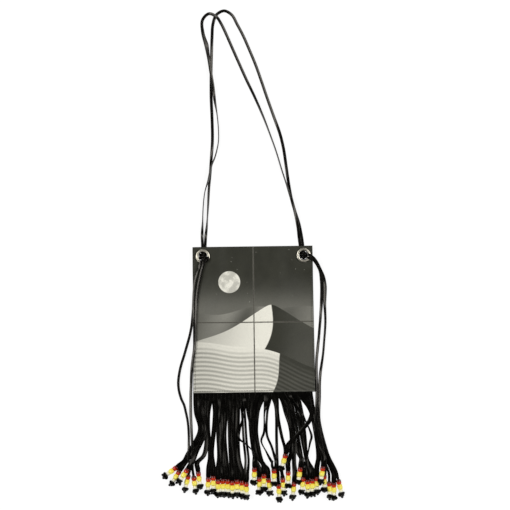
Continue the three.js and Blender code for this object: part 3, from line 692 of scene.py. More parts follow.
@dataclass(frozen=True)
class PrintedLeather(Finish):
    """Leather with a print, rubbed along its seams and along a crease above the bottom edge.

    Attributes:
        crease: how far the crease lies above the edge.
        seam_rub, crease_rub: distances from the seam and the crease where the rubbing begins and is full.
        least_rub: its least strength.
        print_edge: how soft the edges of the print are.
    """

    crease: float = 0.0026
    seam_rub: tuple[float, float] = (0.0013, 0.0007)
    crease_rub: tuple[float, float] = (0.0008, 0.0002)
    least_rub: float = 0.75
    print_edge: float = 0.0004

    def share(self, graph: Graph, effects: Mapping[str, Socket], layer: Layer) -> Socket:
        """How strongly a layer shows: the print by its tone, the rubbed seams by the distance to them.

        Args:
            graph: the material's graph.
            effects: the outputs of the shared effects.
            layer: the layer.
        Returns:
            Its share, from 0 to 1.
        """
        if layer.mask is Mask.PRINT:
            return self.tone(graph)
        if layer.mask is not Mask.SEAMS:
            return super().share(graph, effects, layer)
        off_crease = graph.math("ABSOLUTE", graph.math("SUBTRACT", graph.held("hem"), self.crease))
        creased = graph.times(graph.step(off_crease, *self.crease_rub), self.least_rub)
        rubbed = graph.math("MAXIMUM", graph.step(graph.held("seam"), *self.seam_rub), creased)
        return graph.times(rubbed, graph.blend(effects["Rub"], self.least_rub, 1.0))

    def tone(self, graph: Graph) -> Socket:
        """The print's tone: 0 is bare leather, 1 is the full tint.

        Args:
            graph: the material's graph.
        Returns:
            The tone, with stars, craters, ripples and film grain.
        """
        star_cells, twinkle_waves, crater_waves, film_waves = 85.0, 60.0, 75.0, 1300.0
        place, soft = graph.place(), self.print_edge
        sown = {"Vector": place, "Scale": star_cells, "Randomness": 1.0}
        star = graph.add("ShaderNodeTexVoronoi", sown, feature="F1")
        twinkle = graph.times(graph.step(star.outputs[0], 0.05, 0.02), graph.noise(place, twinkle_waves, 0.0))
        tone = graph.plus(graph.held("sky"), twinkle, 0.9)
        craters = graph.blend(graph.step(graph.noise(place, crater_waves, 5.0), 0.42, 0.6), 0.62, 0.98)
        tone = graph.blend(graph.step(graph.held("moon"), -soft, soft), tone, craters)
        for layer in ("far", "middle", "near"):
            ridge = graph.step(graph.held(f"{layer}_ridge"), -2.0 * soft, 2.0 * soft)
            lit = graph.blend(ridge, graph.held(f"{layer}_shade"), graph.held(f"{layer}_light"))
            tone = graph.blend(graph.step(graph.held(layer), -soft, soft), tone, lit)
        film = graph.math("SUBTRACT", graph.noise(place, film_waves, 3.0), 0.5)
        return graph.plus(tone, film, graph.plus(0.02, tone, 0.16), clamp=True)


def charcoal_leather(name: str, *prints: Layer) -> PrintedLeather:
    """Mottled charcoal leather with dark pores, pale rubbed seams and dyed edges.

    Args:
        name: the finish's name.
        prints: what is printed on it.
    Returns:
        The finish.
    """
    charcoal, worn, dye = (0.0305, 0.0305, 0.0210), (0.135, 0.128, 0.105), (0.008, 0.008, 0.008)
    layers = (
        Layer(Mask.MOTTLE, 0.5, charcoal, 1.5), *prints, Layer(Mask.PORES, 0.22, charcoal, 0.5),
        Layer(Mask.SEAMS, 1.0, worn), Layer(Mask.EDGE, (0.0009, 0.0003), dye),
    )
    return PrintedLeather(name, charcoal, layers, marks=(70.0, 1100.0), rough=(0.46, 0.6, -0.06),
                          grain=(1050.0, 0.3), relief=(Mask.HEIGHT, 0.22, 0.00025), gloss=0.25)


def black_leather(name: str, gloss: float) -> Finish:
    """Black leather: smooth face, slightly paler where it is rubbed, with a soft warm gloss.

    Args:
        name: the finish's name.
        gloss: strength of the reflection.
    Returns:
        The finish.
    """
    black, rubbed = (0.0011, 0.0009, 0.0007), (0.0036, 0.0031, 0.0024)
    layers = (Layer(Mask.RUB, 0.6, rubbed), Layer(Mask.PORES, 0.5, black, 0.4))
    return Finish(name, black, layers, marks=(160.0, 2200.0), rough=(0.2, 0.3, 0.08), grain=(1500.0, 0.6),
                  relief=(Mask.HEIGHT, 0.006, 0.0002), gloss=gloss, shine=(1.0, 0.95, 0.85))


def bead_plastic(name: str, colour: Colour, deep: Colour, upper: Colour) -> Finish:
    """Glossy moulded bead, uneven between its usual and its deep tone, with a painted tone at its upper end: painted
    shade on the red bead, painted reflected colour of the bead above on the yellow and ivory ones.
    """
    # The layer by how far down the bead a point lies is painted light: painted shade at the red bead's upper end,
    # painted reflected colour of the bead above at the yellow and ivory beads' upper ends.
    layers = (Layer(Mask.RUB, 0.5, deep), Layer(Mask.DOWN, (0.64, 0.26), upper))
    return Finish(name, colour, layers, marks=(300.0, 2400.0), rough=(0.08, 0.15, 0.1), gloss=0.55)


PALE_NICKEL = Finish(
    "pale_nickel", (0.94, 0.89, 0.75),
    # The dark layer by rise is tarnish and painted shade: the metal is painted dark low down the barrel and towards
    # the hole's edge.
    (Layer(Mask.RUB, 0.55, (0.74, 0.69, 0.56)), Layer(Mask.RISE, (0.75, 0.3), (0.075, 0.068, 0.055))),
    marks=(260.0, 2600.0), rough=(0.36, 0.46, 0.12), relief=(Mask.SCRATCH, 0.06, 0.0001), metallic=1.0,
)
GREY_THREAD = Finish(
    "grey_thread", (0.085, 0.082, 0.072), (Layer(Mask.RUB, 1.0, (0.085, 0.082, 0.072), 0.5),),
    marks=(900.0, 6000.0), rough=(0.6, 0.6, 0.0), relief=(Mask.SCRATCH, 0.3, 0.0001),
)


@dataclass(frozen=True)
class Finishes:
    """Every material of the bag."""

    front: Material
    back: Material
    lace: Material
    fringe: Material
    nickel: Material
    thread: Material
    beads: tuple[Material, ...]

    @classmethod
    def make(cls) -> "Finishes":
        """Builds the materials from the shared effects.

        Returns:
            The materials.
        """
        shared = SharedEffects.make()
        cream = Layer(Mask.PRINT, 1.0, (0.93, 0.905, 0.79))
        beads = (
            # The third colour of each bead is painted at its upper end: painted shade on the red bead, painted
            # reflected colour of the bead above on the yellow and ivory beads.
            bead_plastic("red_bead", (0.60, 0.036, 0.008), (0.24, 0.006, 0.001), (0.085, 0.0016, 0.0004)),
            bead_plastic("yellow_bead", (0.99, 0.91, 0.17), (0.98, 0.84, 0.11), (0.97, 0.74, 0.07)),
            bead_plastic("ivory_bead", (0.97, 0.95, 0.80), (0.94, 0.90, 0.70), (0.97, 0.89, 0.56)),
        )
        others = (
            charcoal_leather("printed_leather", cream), charcoal_leather("charcoal_leather"),
            black_leather("black_lace_leather", 0.5), black_leather("black_fringe_leather", 0.17),
            PALE_NICKEL, GREY_THREAD,
        )
        made, strung = ([finish.material(shared) for finish in group] for group in (others, beads))
        return cls(*made, tuple(strung))


def settle(piece: Piece, slot: str, *nodes: str) -> Piece:
    """Rides a piece on the bag and hides the solids that it stands for.

    Args:
        piece: the piece.
        slot: the record's material slot; not used.
        nodes: the solids that it replaces.
    Returns:
        The piece.
    """
    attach(piece, ROOT)
    if nodes:
        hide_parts(*nodes)
    LOG.info("%s: %d faces", piece.name, len(piece.data.polygons))
    return piece


@dataclass(frozen=True)
class BagForm:
    """The pouch's sizes, and the heights of its two leather layers over the floor."""

    height: float = 0.248
    top_width: float = 0.2034
    bottom_width: float = 0.2074
    leather: float = 0.0018
    gap: float = 0.0003
    crown: float = 0.009
    crown_ramp: float = 0.070
    mouth_stand_off: float = 0.0068
    seam_x: float = 0.001
    seam_y: float = -0.0045
    eyelet_inset_left: float = 0.0175
    eyelet_inset_right: float = 0.0152
    eyelet_inset_top: float = 0.016
    seat_radius: float = 0.014
    seat_fade: float = 0.030
    seat_lift: float = 0.0045
    header_depth: float = 0.008
    header_inset: float = 0.0025
    header_rise: float = 0.0018
    ripple: float = 0.00045

    @property
    def hem_y(self) -> float:
        """The bottom edge."""
        return -self.height / 2.0

    def half_width(self, y: Array) -> Array:
        """Half the width at a height: it narrows evenly from the bottom to the top."""
        mean, taper = (self.top_width + self.bottom_width) / 4.0, (self.bottom_width - self.top_width) / 2.0
        return mean - taper * y / self.height

    @property
    def eyelets(self) -> tuple[tuple[float, float], tuple[float, float]]:
        """The eyelets' middles, left and right."""
        y = self.height / 2.0 - self.eyelet_inset_top
        half = float(self.half_width(np.float64(y)))
        return (self.eyelet_inset_left - half, y), (half - self.eyelet_inset_right, y)

    def seat(self, x: Array, y: Array) -> Array:
        """1 on the flat square around an eyelet, falling smoothly to 0 away from it."""
        nearest = np.minimum(*(np.maximum(np.abs(x - ex), np.abs(y - ey)) for ex, ey in self.eyelets))
        return 1.0 - ramp((nearest - self.seat_radius) / self.seat_fade)

    def back_under(self, x: Array, y: Array) -> Array:
        """Underside of the back: on the floor, lifted over the laces at the eyelets."""
        return self.seat_lift * self.seat(x, y)

    def front_under(self, x: Array, y: Array) -> Array:
        """Underside of the front: above the back, the fringe's header and the crowned hollow.

        The crown rises by ramps from the sides and the bottom, and soft waves ripple it.

        Args:
            x, y: places on the bag.
        Returns:
            The height at each place.
        """
        sides = ramp((self.half_width(y) - np.abs(x)) / self.crown_ramp)
        bottom = ramp((y - self.hem_y) / self.crown_ramp)
        mouth = 1.0 - ramp((self.height / 2.0 - y) / self.crown_ramp)
        crown = self.crown + (self.mouth_stand_off - self.crown) * mouth
        above_header = (y - self.hem_y - self.header_depth - self.header_inset) / (2.0 * self.header_depth)
        header = self.header_rise * (1.0 - ramp(above_header))
        free = 1.0 - self.seat(x, y)
        wave = np.sin(48.0 * x + 1.2) * np.sin(37.0 * y + 0.6) + 0.5 * np.sin(90.0 * x - 57.0 * y + 1.0)
        soft = self.ripple * wave * sides * bottom * free
        return self.back_under(x, y) + self.leather + self.gap + header + crown * sides * bottom * free + soft

    def front_top(self, x: Array, y: Array) -> Array:
        """Outside of the front."""
        return self.front_under(x, y) + self.leather


class DunePrint:
    """A night landscape for the front: a moon over three layers of dunes, as fields over the panels.

    A layer's field is the distance below its skyline, its ridge field the distance to the lit side of
    its ridge line, and its light and shade fields the tones on the two sides.
    """

    HALF_WIDTH = 0.102
    HALF_HEIGHT = 0.124
    MOON = (-0.040, 0.064)
    MOON_RADIUS = 0.0185
    RIPPLE_PITCH = 0.0074

    def fields(self, x: Array, y: Array) -> dict[str, Array]:
        """Works out every field of the print.

        Args:
            x: places across the bag.
            y: places along it.
        Returns:
            The fields by name.
        """
        u, v = x / self.HALF_WIDTH, y / self.HALF_HEIGHT
        found = {
            "sky": 0.13 * np.exp(-(((v - 0.10) / 0.26) ** 2)),
            "moon": self.MOON_RADIUS - np.hypot(x - self.MOON[0], y - self.MOON[1]),
        }
        far = 0.13 + 0.05 * np.sin(2.3 * u + 0.5) + 0.022 * np.sin(6.1 * u + 1.7)
        folds = 0.5 + 0.5 * np.sin(7.0 * u - 5.0 * v + 1.3 * np.sin(3.0 * u))
        found |= self.layer("far", (far - v) * self.HALF_HEIGHT, np.ones(u.shape),
                            0.10 + 0.16 * folds - 0.25 * (far - v), np.zeros(u.shape))
        peak = 0.30
        lean = u - peak
        middle = 0.23 - 0.47 * np.sqrt(lean**2 + 0.004) - 0.06 * np.sin(3.4 * lean) * lean
        fall = np.maximum(0.0, 0.20 - v)
        ridge = peak - 0.50 * fall + 0.20 * np.sin(3.3 * fall)
        aside = (ridge - u) * self.HALF_WIDTH
        found |= self.layer("middle", (middle - v) * self.HALF_HEIGHT, aside,
                            1.0 - 0.50 * ramp((ridge - u) / 1.35), 0.05 * ramp((u - ridge) / 0.9))
        near = -0.50 + 0.19 * np.sin(1.5 * u + 2.5) + 0.035 * np.sin(4.3 * u)
        depth = (near - v) * self.HALF_HEIGHT
        crest = 0.42 + 0.55 * (v + 0.62) + 0.10 * np.sin(5.0 * v)
        bend = 1.9 * np.sin(3.1 * u + 0.4) + 0.8 * np.sin(7.3 * u)
        waves = 0.5 + 0.5 * np.sin(FULL_TURN * depth / self.RIPPLE_PITCH + bend)
        fade = ramp(depth / 0.02)
        light = 0.95 - 0.45 * waves * fade - 0.20 * ramp((-u - 0.2) / 0.8)
        found |= self.layer("near", depth, (crest - u) * self.HALF_WIDTH, light, 0.01 + 0.06 * waves * fade)
        return found

    @staticmethod
    def layer(name: str, below: Array, lit: Array, light: Array, shade: Array) -> dict[str, Array]:
        """Names the fields of one layer of dunes."""
        return {name: below, f"{name}_ridge": lit, f"{name}_light": light, f"{name}_shade": shade}


class Row(Enum):
    """Upper or lower pair of front panels."""

    UPPER = 1
    LOWER = -1


class Side(Enum):
    """Left or right half of the bag."""

    LEFT = -1
    RIGHT = 1


@dataclass
class Panels:
    """The pouch: four printed front panels that meet at a cross seam, and one back panel."""

    form: BagForm
    finishes: Finishes
    spacing: float = 0.0015
    seam_gap: float = 0.00012
    fold: float = 0.0010
    fold_drop: float = 0.0007
    groove: float = 0.0004
    groove_width: float = 0.0045
    pucker: float = 0.00016
    pucker_pitch: float = 0.0058
    barrel_hole: float = 0.0089
    press: float = 0.00025
    press_reach: float = 0.0122
    press_fade: float = 0.004
    groove_fade: float = 0.02
    back_coarser: float = 1.3

    def front(self, row: Row, side: Side) -> Piece:
        """One front panel: a crowned sheet, folded under along the seam and rounded along its free edges.

        Near the seam the leather is drawn down by a Gaussian groove with small even puckers.

        Args:
            row: upper or lower.
            side: left or right.
        Returns:
            The piece.
        """
        form, sx, sy = self.form, side.value, row.value
        half = form.leather / 2.0
        start_x, start_y = form.seam_x + sx * self.seam_gap, form.seam_y + sy * self.seam_gap
        tall = form.height / 2.0 - sy * start_y
        wide = float(form.half_width(np.float64(0.0))) - sx * start_x
        across = edge_stations(wide, self.spacing, self.fold, half)
        along = edge_stations(tall, self.spacing, self.fold, half)
        y = np.broadcast_to(start_y + sy * along * tall, (len(across), len(along)))
        reach = form.half_width(y) - sx * start_x
        x = start_x + sx * across[:, None] * reach
        from_seam_x, from_seam_y = across[:, None] * reach, along * tall
        free = np.minimum((1.0 - across[:, None]) * reach, (1.0 - along) * tall)
        seam = np.minimum(from_seam_x, from_seam_y)
        under = form.front_under(x, y) - self.drawn_down(x, y, from_seam_x, from_seam_y) - self.pressed(x, y)
        top = under + form.leather
        rounded = quarter_round(free, half)
        top = top - np.maximum(half * rounded, self.fold_drop * quarter_round(seam, self.fold))
        values = {"seam": seam, "edge": free, "hem": y - form.hem_y, **DunePrint().fields(x, y)}
        holes = [Hole(ex, ey, self.barrel_hole) for ex, ey in form.eyelets] if row is Row.UPPER else []
        sheet = closed_sheet(
            np.stack([x, y, top], -1), np.stack([x, y, under + half * rounded], -1), values, holes
        )
        name = f"front_{row.name.lower()}_{side.name.lower()}"
        slot = "front_leather_dark" if row is Row.UPPER else "front_leather_pale"
        piece = settle(sheet.to_object(f"{name}_leather", [self.finishes.front]), slot, name)
        return piece

    def drawn_down(self, x: Array, y: Array, from_x: Array, from_y: Array) -> Array:
        """Depth of the groove and puckers beside the cross seam: Gaussians of the distance to each arm.

        Args:
            x, y: places on the bag.
            from_x, from_y: their distances to the seam's arms.
        Returns:
            The depth at each place.
        """
        near_x = np.exp(-((from_x / self.groove_width) ** 2))
        near_y = np.exp(-((from_y / self.groove_width) ** 2))
        turn = FULL_TURN / self.pucker_pitch
        puckers = self.pucker * (near_x * np.cos(turn * y) + near_y * np.cos(turn * x))
        from_side, from_hem = self.form.half_width(y) - np.abs(x), y - self.form.hem_y
        edge = ramp(from_side / self.groove_fade) * ramp(from_hem / self.groove_fade)
        return (self.groove * np.maximum(near_x, near_y) + puckers) * edge

    def pressed(self, x: Array, y: Array) -> Array:
        """How far an eyelet's flange presses the leather down around it."""
        away = np.minimum(*(np.hypot(x - ex, y - ey) for ex, ey in self.form.eyelets))
        return self.press * (1.0 - ramp((away - self.press_reach) / self.press_fade))

    def back(self) -> Piece:
        """The back panel: one flat sheet with rounded edges, lifted at its top corners.

        Returns:
            The piece.
        """
        form, half = self.form, self.form.leather / 2.0
        wide = 2.0 * float(form.half_width(np.float64(0.0)))
        spacing = self.back_coarser * self.spacing
        across, along = (edge_stations(size, spacing, half, half) for size in (wide, form.height))
        y = np.broadcast_to((along - 0.5) * form.height, (len(across), len(along)))
        reach = 2.0 * form.half_width(y)
        x = (across[:, None] - 0.5) * reach
        share = np.minimum(across, 1.0 - across)[:, None]
        free = np.minimum(share * reach, np.minimum(along, 1.0 - along) * form.height)
        rounded = half * quarter_round(free, half)
        under = form.back_under(x, y)
        holes = [Hole(ex, ey, self.barrel_hole) for ex, ey in form.eyelets]
        sheet = closed_sheet(
            np.stack([x, y, under + form.leather - rounded], -1),
            np.stack([x, y, under + rounded], -1),
            {"seam": np.ones(x.shape), "edge": free, "hem": np.ones(x.shape)},
            holes,
        )
        piece = settle(sheet.to_object("back_leather", [self.finishes.back]), "back_leather", "back_panel")
        return piece


@dataclass
class EdgeStitching:
    """Saddle stitches along the two sides and the bottom, on the front and on the back."""

    form: BagForm
    finishes: Finishes
    inset: float = 0.0034
    pitch: float = 0.0042
    stitch: float = 0.0031
    thread: float = 0.00062
    arch: float = 0.0003
    sink: float = 0.00022
    steps: int = 7
    sides: int = 6

    def unit_stitch(self) -> Surface:
        """One stitch along Y: a round thread on a parabola that dips into the leather at both ends.

        Returns:
            The stitch.
        """
        along = np.linspace(-0.5, 0.5, self.steps)
        height = self.arch - (self.arch + self.sink) * (2.0 * along) ** 2
        path = np.stack([np.zeros_like(along), along * self.stitch, height], -1)
        return swept(path, np.zeros_like(along), band_outline(self.thread, self.thread, self.sides, 2.0))

    def line(self, side: Side) -> Array:
        """Middles of the stitches along one side, from the bottom to the top.

        Args:
            side: left or right.
        Returns:
            One row of (x, y) for each stitch.
        """
        low, high = self.form.hem_y + 2.0 * self.inset, self.form.height / 2.0 - self.inset
        y = np.arange(low, high, self.pitch)
        return np.stack([side.value * (self.form.half_width(y) - self.inset), y], -1)

    def build(self) -> Piece:
        """Lays every stitch on the leather, and presses those behind flat on the floor.

        Returns:
            The piece.
        """
        half = self.form.bottom_width / 2.0
        bottom_x = np.arange(-half + self.inset, half, self.pitch)
        bottom = np.stack([bottom_x, np.full_like(bottom_x, self.form.hem_y + self.inset)], -1)
        up_the_side, across = np.array([0.0, 1.0, 0.0]), np.array([1.0, 0.0, 0.0])
        places, axes = [], []
        for run, along in [*((self.line(side), up_the_side) for side in Side), (bottom, across)]:
            x, y = run[:, 0], run[:, 1]
            for height, out in ((self.form.front_top(x, y), UP), (self.form.back_under(x, y), -UP)):
                places.append(np.stack([x, y, height], -1))
                axes.append(np.tile(np.stack([np.cross(along, out), along, out]), (len(x), 1, 1)))
        stitches = self.unit_stitch().repeated(np.concatenate(places), np.concatenate(axes))
        stitches.points[:, 2] = np.maximum(stitches.points[:, 2], 0.0)
        return settle(stitches.to_object("edge_stitching", [self.finishes.thread]), "black_leather")


@dataclass
class Eyelets:
    """Domed eyelets with a barrel through both layers and a washer behind."""

    form: BagForm
    finishes: Finishes
    hole: float = 0.0072
    outer: float = 0.0123
    barrel: float = 0.0079
    roll_bottom: float = 0.0024
    roll_top: float = 0.0031
    roll_reach: float = 0.0093
    flange_bottom: float = 0.0081
    flange_top: float = 0.0107
    rim_height: float = 0.0005
    rim_inset: float = 0.0003
    dome_power: float = 0.85
    washer_bottom: float = 0.0034
    washer_top: float = 0.0042
    washer_outer: float = 0.0115
    washer_hole: float = 0.0082
    washer_squareness: float = 5.0
    # Width at the hole's edge over which tarnish and painted shade darken the metal.
    tarnish_and_shade_width: float = 0.0016
    segments: int = 72

    def ring_profile(self) -> Array:
        """Section of an eyelet: a rolled lip below, a straight barrel, and a half-oval flange on top.

        Returns:
            One row of (radius, height) for each point.
        """
        angle = np.linspace(0.0, math.pi, 22)
        middle, reach = (self.hole + self.outer) / 2.0, (self.outer - self.hole) / 2.0
        rim = self.flange_bottom + self.rim_height
        domed = rim + (self.flange_top - rim) * np.sin(angle) ** self.dome_power
        dome = np.stack([middle + reach * np.cos(angle), domed], -1)
        lip_angle = np.linspace(-math.pi / 2.0, math.pi / 2.0, 7)
        lip_half = (self.roll_top - self.roll_bottom) / 2.0
        lip_middle = np.array([self.roll_reach - lip_half, self.roll_bottom + lip_half])
        lip = lip_middle + lip_half * np.stack([np.cos(lip_angle), np.sin(lip_angle)], -1)
        barrel = [[self.barrel, self.roll_top], [self.barrel, self.flange_bottom]]
        under = [[self.outer - self.rim_inset, self.flange_bottom]]
        inner = [[self.hole, self.roll_bottom + lip_half], [self.hole + self.rim_inset, self.roll_bottom]]
        return np.concatenate([lip, barrel, under, dome, inner])

    def washer_profile(self) -> Array:
        """Section of the washer: a flat ring with rounded edges."""
        low, high = np.array([self.washer_hole, self.washer_bottom]), np.array([self.washer_outer, self.washer_top])
        return band_outline(*(high - low), 20, self.washer_squareness) + (high + low) / 2.0

    def build(self) -> list[Piece]:
        """Sets a ring and a washer in each top corner.

        Returns:
            The four pieces.
        """
        made = []
        for side, (x, y) in zip(Side, self.form.eyelets):
            corner = side.name.lower()
            for label, node, profile in (
                ("ring", "eyelet", self.ring_profile()),
                ("washer", "eyelet_washer", self.washer_profile()),
            ):
                ring = turned(profile, self.segments)
                low, high = profile[:, 1].min(), profile[:, 1].max()
                foot = self.flange_bottom if label == "ring" else low - (high - low)
                rise = np.clip((ring.points[:, 2] - foot) / (high - foot), 0.0, 1.0)
                inside = np.hypot(ring.points[:, 0], ring.points[:, 1]) - self.hole
                # rise is low down the barrel and at the hole's edge, where the metal gets tarnish and painted shade.
                ring.values["rise"] = rise * ramp(inside / self.tarnish_and_shade_width)
                ring.points = ring.points + np.array([x, y, 0.0])
                piece = ring.to_object(f"{corner}_{label}", [self.finishes.nickel])
                made.append(settle(piece, "eyelet_metal", f"{corner}_{node}"))
        return made


class Level(Enum):
    """Height of a bead stack's axis: on the floor, on other strands, or on two other stacks."""

    FLOOR = 0.0045
    UPPER = 0.00645
    HEAP = 0.01127


@dataclass(frozen=True)
class BeadSizes:
    """Sizes of the beads, of the knots below them and of the fringe's plan."""

    length: float = 0.0076
    lengths: tuple[float, float, float] = (0.0081, 0.0088, 0.0050)
    diameters: tuple[float, float, float] = (0.0086, 0.0090, 0.0074)
    pitch: float = 0.0089
    hole: float = 0.0046
    knot_radius: float = 0.0034
    knot_reach: float = 0.0056
    knot_gap: float = 0.0003
    tip: float = 0.0038
    tip_droop: float = 0.0018
    lead_in: float = 0.014
    straight_in: float = 0.004
    drop: float = 0.150
    hem_y: float = -0.124

    @property
    def stack(self) -> float:
        """Length of a stack."""
        return sum(self.lengths)


@dataclass(frozen=True)
class BeadRun:
    """Where a stack of beads lies: its first bead in pitches and shares of the drop, its lean and height."""

    bead: tuple[float, float]
    lean: float
    level: Level = Level.FLOOR
    sizes: BeadSizes = BeadSizes()

    @property
    def direction(self) -> Array:
        """Unit vector down the stack."""
        return unit(np.array([self.lean, -1.0, 0.0]))

    @property
    def start(self) -> Array:
        """Middle of the stack's upper end."""
        return self.at(self.bead, self.level.value) - self.direction * self.sizes.length / 2.0

    def at(self, place: tuple[float, float], height: float) -> Array:
        """A point of the fringe's plan."""
        across, down = place
        return np.array([across * self.sizes.pitch, self.sizes.hem_y - down * self.sizes.drop, height])

    def along(self, distance: float) -> Array:
        """A point on the stack's axis."""
        return self.start + self.direction * distance

    @property
    def knot(self) -> Array:
        """Middle of the knot below the stack."""
        return self.along(self.sizes.stack + self.sizes.knot_gap + self.sizes.knot_radius)

    @property
    def tip(self) -> Array:
        """End of the strand."""
        end = self.along(self.sizes.stack + self.sizes.knot_gap + 2.0 * self.sizes.knot_radius + self.sizes.tip)
        return end - np.array([0.0, 0.0, self.sizes.tip_droop])

    def frame(self) -> Array:
        """Rows that send x across the stack, y down it and z up."""
        down = self.direction
        return np.stack([np.cross(down, UP), down, UP])


@dataclass
class BeadStringer:
    """Makes the beads and the knots below them.

    Attributes:
        filled: half a bead's length, as a share of its place in the stack.
        shoulder: where the rounding begins, as a share of the way from the hole to the outside.
        fullness: powers that make the barrel fuller across and along.
    """

    sizes: BeadSizes
    finishes: Finishes
    rng: np.random.Generator
    segments: int = 26
    filled: float = 0.485
    shoulder: float = 0.3
    fullness: tuple[float, float] = (0.7, 0.9)
    bored: float = 0.86
    tilt: float = 0.045
    knot_steps: int = 40
    knot_lace: tuple[float, float] = (0.0046, 0.0028)
    knot_roll: float = 0.5
    knot_inset: float = 0.0012
    knot_sizes: tuple[float, float] = (0.94, 1.1)

    def bead(self, order: int) -> Surface:
        """One bead along Y: a barrel outside, with rounded shoulders and a straight hole.

        Args:
            order: its place in the stack.
        Returns:
            The bead, with how far down it each point lies, from 0 to 1.
        """
        outside, hole = self.sizes.diameters[order] / 2.0, self.sizes.hole / 2.0
        half = self.filled * self.sizes.lengths[order]
        angle = np.linspace(-math.pi / 2.0, math.pi / 2.0, 13)
        inner = hole + self.shoulder * (outside - hole)
        radius = inner + (outside - inner) * np.cos(angle) ** self.fullness[0]
        height = half * np.sign(np.sin(angle)) * np.abs(np.sin(angle)) ** self.fullness[1]
        bore = [[hole, self.bored * half], [hole, -self.bored * half]]
        ring = turned(np.concatenate([np.stack([radius, height], -1), bore]), self.segments).laid_down()
        # How far down the bead, from 0 at its upper end; the material paints shade and reflected colour where it is
        # low.
        ring.values["down"] = 0.5 + 0.5 * ring.points[:, 1] / half
        return ring

    def string(self, name: str, runs: Sequence[BeadRun], *nodes: str) -> Piece:
        """Strings a red, a yellow and an ivory bead on each run, each a little off true.

        Args:
            name: the piece's name.
            runs: where the stacks lie.
            nodes: the solids that the piece replaces.
        Returns:
            The piece.
        """
        parts = []
        for order, length in enumerate(self.sizes.lengths):
            middles = np.array([run.along(sum(self.sizes.lengths[:order]) + length / 2.0) for run in runs])
            frames = np.array([run.frame() for run in runs])
            tilt = self.rng.normal(0.0, self.tilt, (len(runs), 3))
            wobble = np.eye(3)[None] + np.cross(np.eye(3)[None], tilt[:, None])
            turn = np.linalg.qr(wobble)[0]
            turn = turn * np.sign(np.einsum("kii->ki", turn))[:, None]
            parts.append(self.bead(order).repeated(middles, turn @ frames))
        beads = Surface.joined(parts, range(len(parts)))
        return settle(beads.to_object(name, self.finishes.beads), "bead", *nodes)

    def knot(self) -> Surface:
        """One overhand knot of lace round the Y axis: a trefoil that rises and falls by half its reach.

        Returns:
            The knot.
        """
        t, plan = trefoil(self.knot_steps)
        path = np.concatenate([plan, 0.5 * np.sin(3.0 * t)[:, None]], axis=1)
        path = path * (self.sizes.knot_reach - self.knot_inset)
        outline = band_outline(*self.knot_lace, points=8, squareness=2.6)
        return swept(path, np.full(len(t), self.knot_roll), outline, closed=True).laid_down()

    def knots(self, name: str, runs: Sequence[BeadRun]) -> Piece:
        """Ties a knot below each stack, each turned its own way and lifted until it lies on the floor.

        Args:
            name: the piece's name.
            runs: where the stacks lie.
        Returns:
            The piece.
        """
        spin = self.rng.uniform(0.0, FULL_TURN, len(runs))
        size = self.rng.uniform(*self.knot_sizes, len(runs))
        zero, one, cos, sin = np.zeros(len(runs)), np.ones(len(runs)), np.cos(spin), np.sin(spin)
        rows = ([cos, zero, sin], [zero, one, zero], [-sin, zero, cos])
        turn = np.stack([np.stack(row, -1) for row in rows], 1) * size[:, None, None]
        frames = np.array([run.frame() for run in runs])
        tied = self.knot().repeated(np.array([run.knot for run in runs]), turn @ frames)
        heights = tied.points[:, 2].reshape(len(runs), -1)
        tied.points[:, 2] += np.repeat(np.maximum(-heights.min(axis=1), 0.0), heights.shape[1])
        return settle(tied.to_object(name, [self.finishes.fringe]), "black_leather")


@dataclass(frozen=True)
class LaceSizes:
    """Section of the flat lace, and how it rests.

    Attributes:
        rest: height of a route where the lace lies flat.
        crossing_rise, crossing_lift: how far a route rises over another lace, and what is added to it there.
        smoothing: points on each side over which the roll is smoothed.
    """

    width: float = 0.0045
    thickness: float = 0.0014
    step: float = 0.0016
    rest: float = FLAT_HEIGHT_MM * MM
    floor_gap: float = 0.0001
    crossing_rise: float = 0.0023
    crossing_lift: float = 0.0022
    smoothing: int = 9
    end_round: float = 0.6

    def half_height(self, roll: Array, broad: Array) -> Array:
        """Half the height of the rolled band: (w |sin| + t |cos|) / 2, where w is the width times broad."""
        return 0.5 * (self.width * broad * np.abs(np.sin(roll)) + self.thickness * np.abs(np.cos(roll)))


@dataclass(frozen=True)
class LaceRun:
    """A lace's route, and its roll and its width at distances along it.

    Attributes:
        node: the solid that it stands for.
        route: the points that it passes.
        rolls: distance in millimetres and roll in degrees.
        widths: distance in millimetres, width as a share of the usual, and how many millimetres the band lies
            to the right of the route.
        run: the bead stack at its end.
    """

    node: str
    route: Array
    rolls: tuple[tuple[float, float], ...]
    widths: tuple[tuple[float, float, float], ...]
    run: BeadRun | None = None

    def at(self, along: Array) -> tuple[Array, Array, Array]:
        """Roll in radians, share of the usual width and shift to the right, at distances along the lace.

        Args:
            along: the distances.
        Returns:
            The three values at each, linear between those given.
        """
        (where, roll), (there, broad, aside) = np.transpose(self.rolls), np.transpose(self.widths)
        share, shift = (np.interp(along, there * MM, column) for column in (broad, aside * MM))
        return np.radians(np.interp(along, where * MM, roll)), share, shift


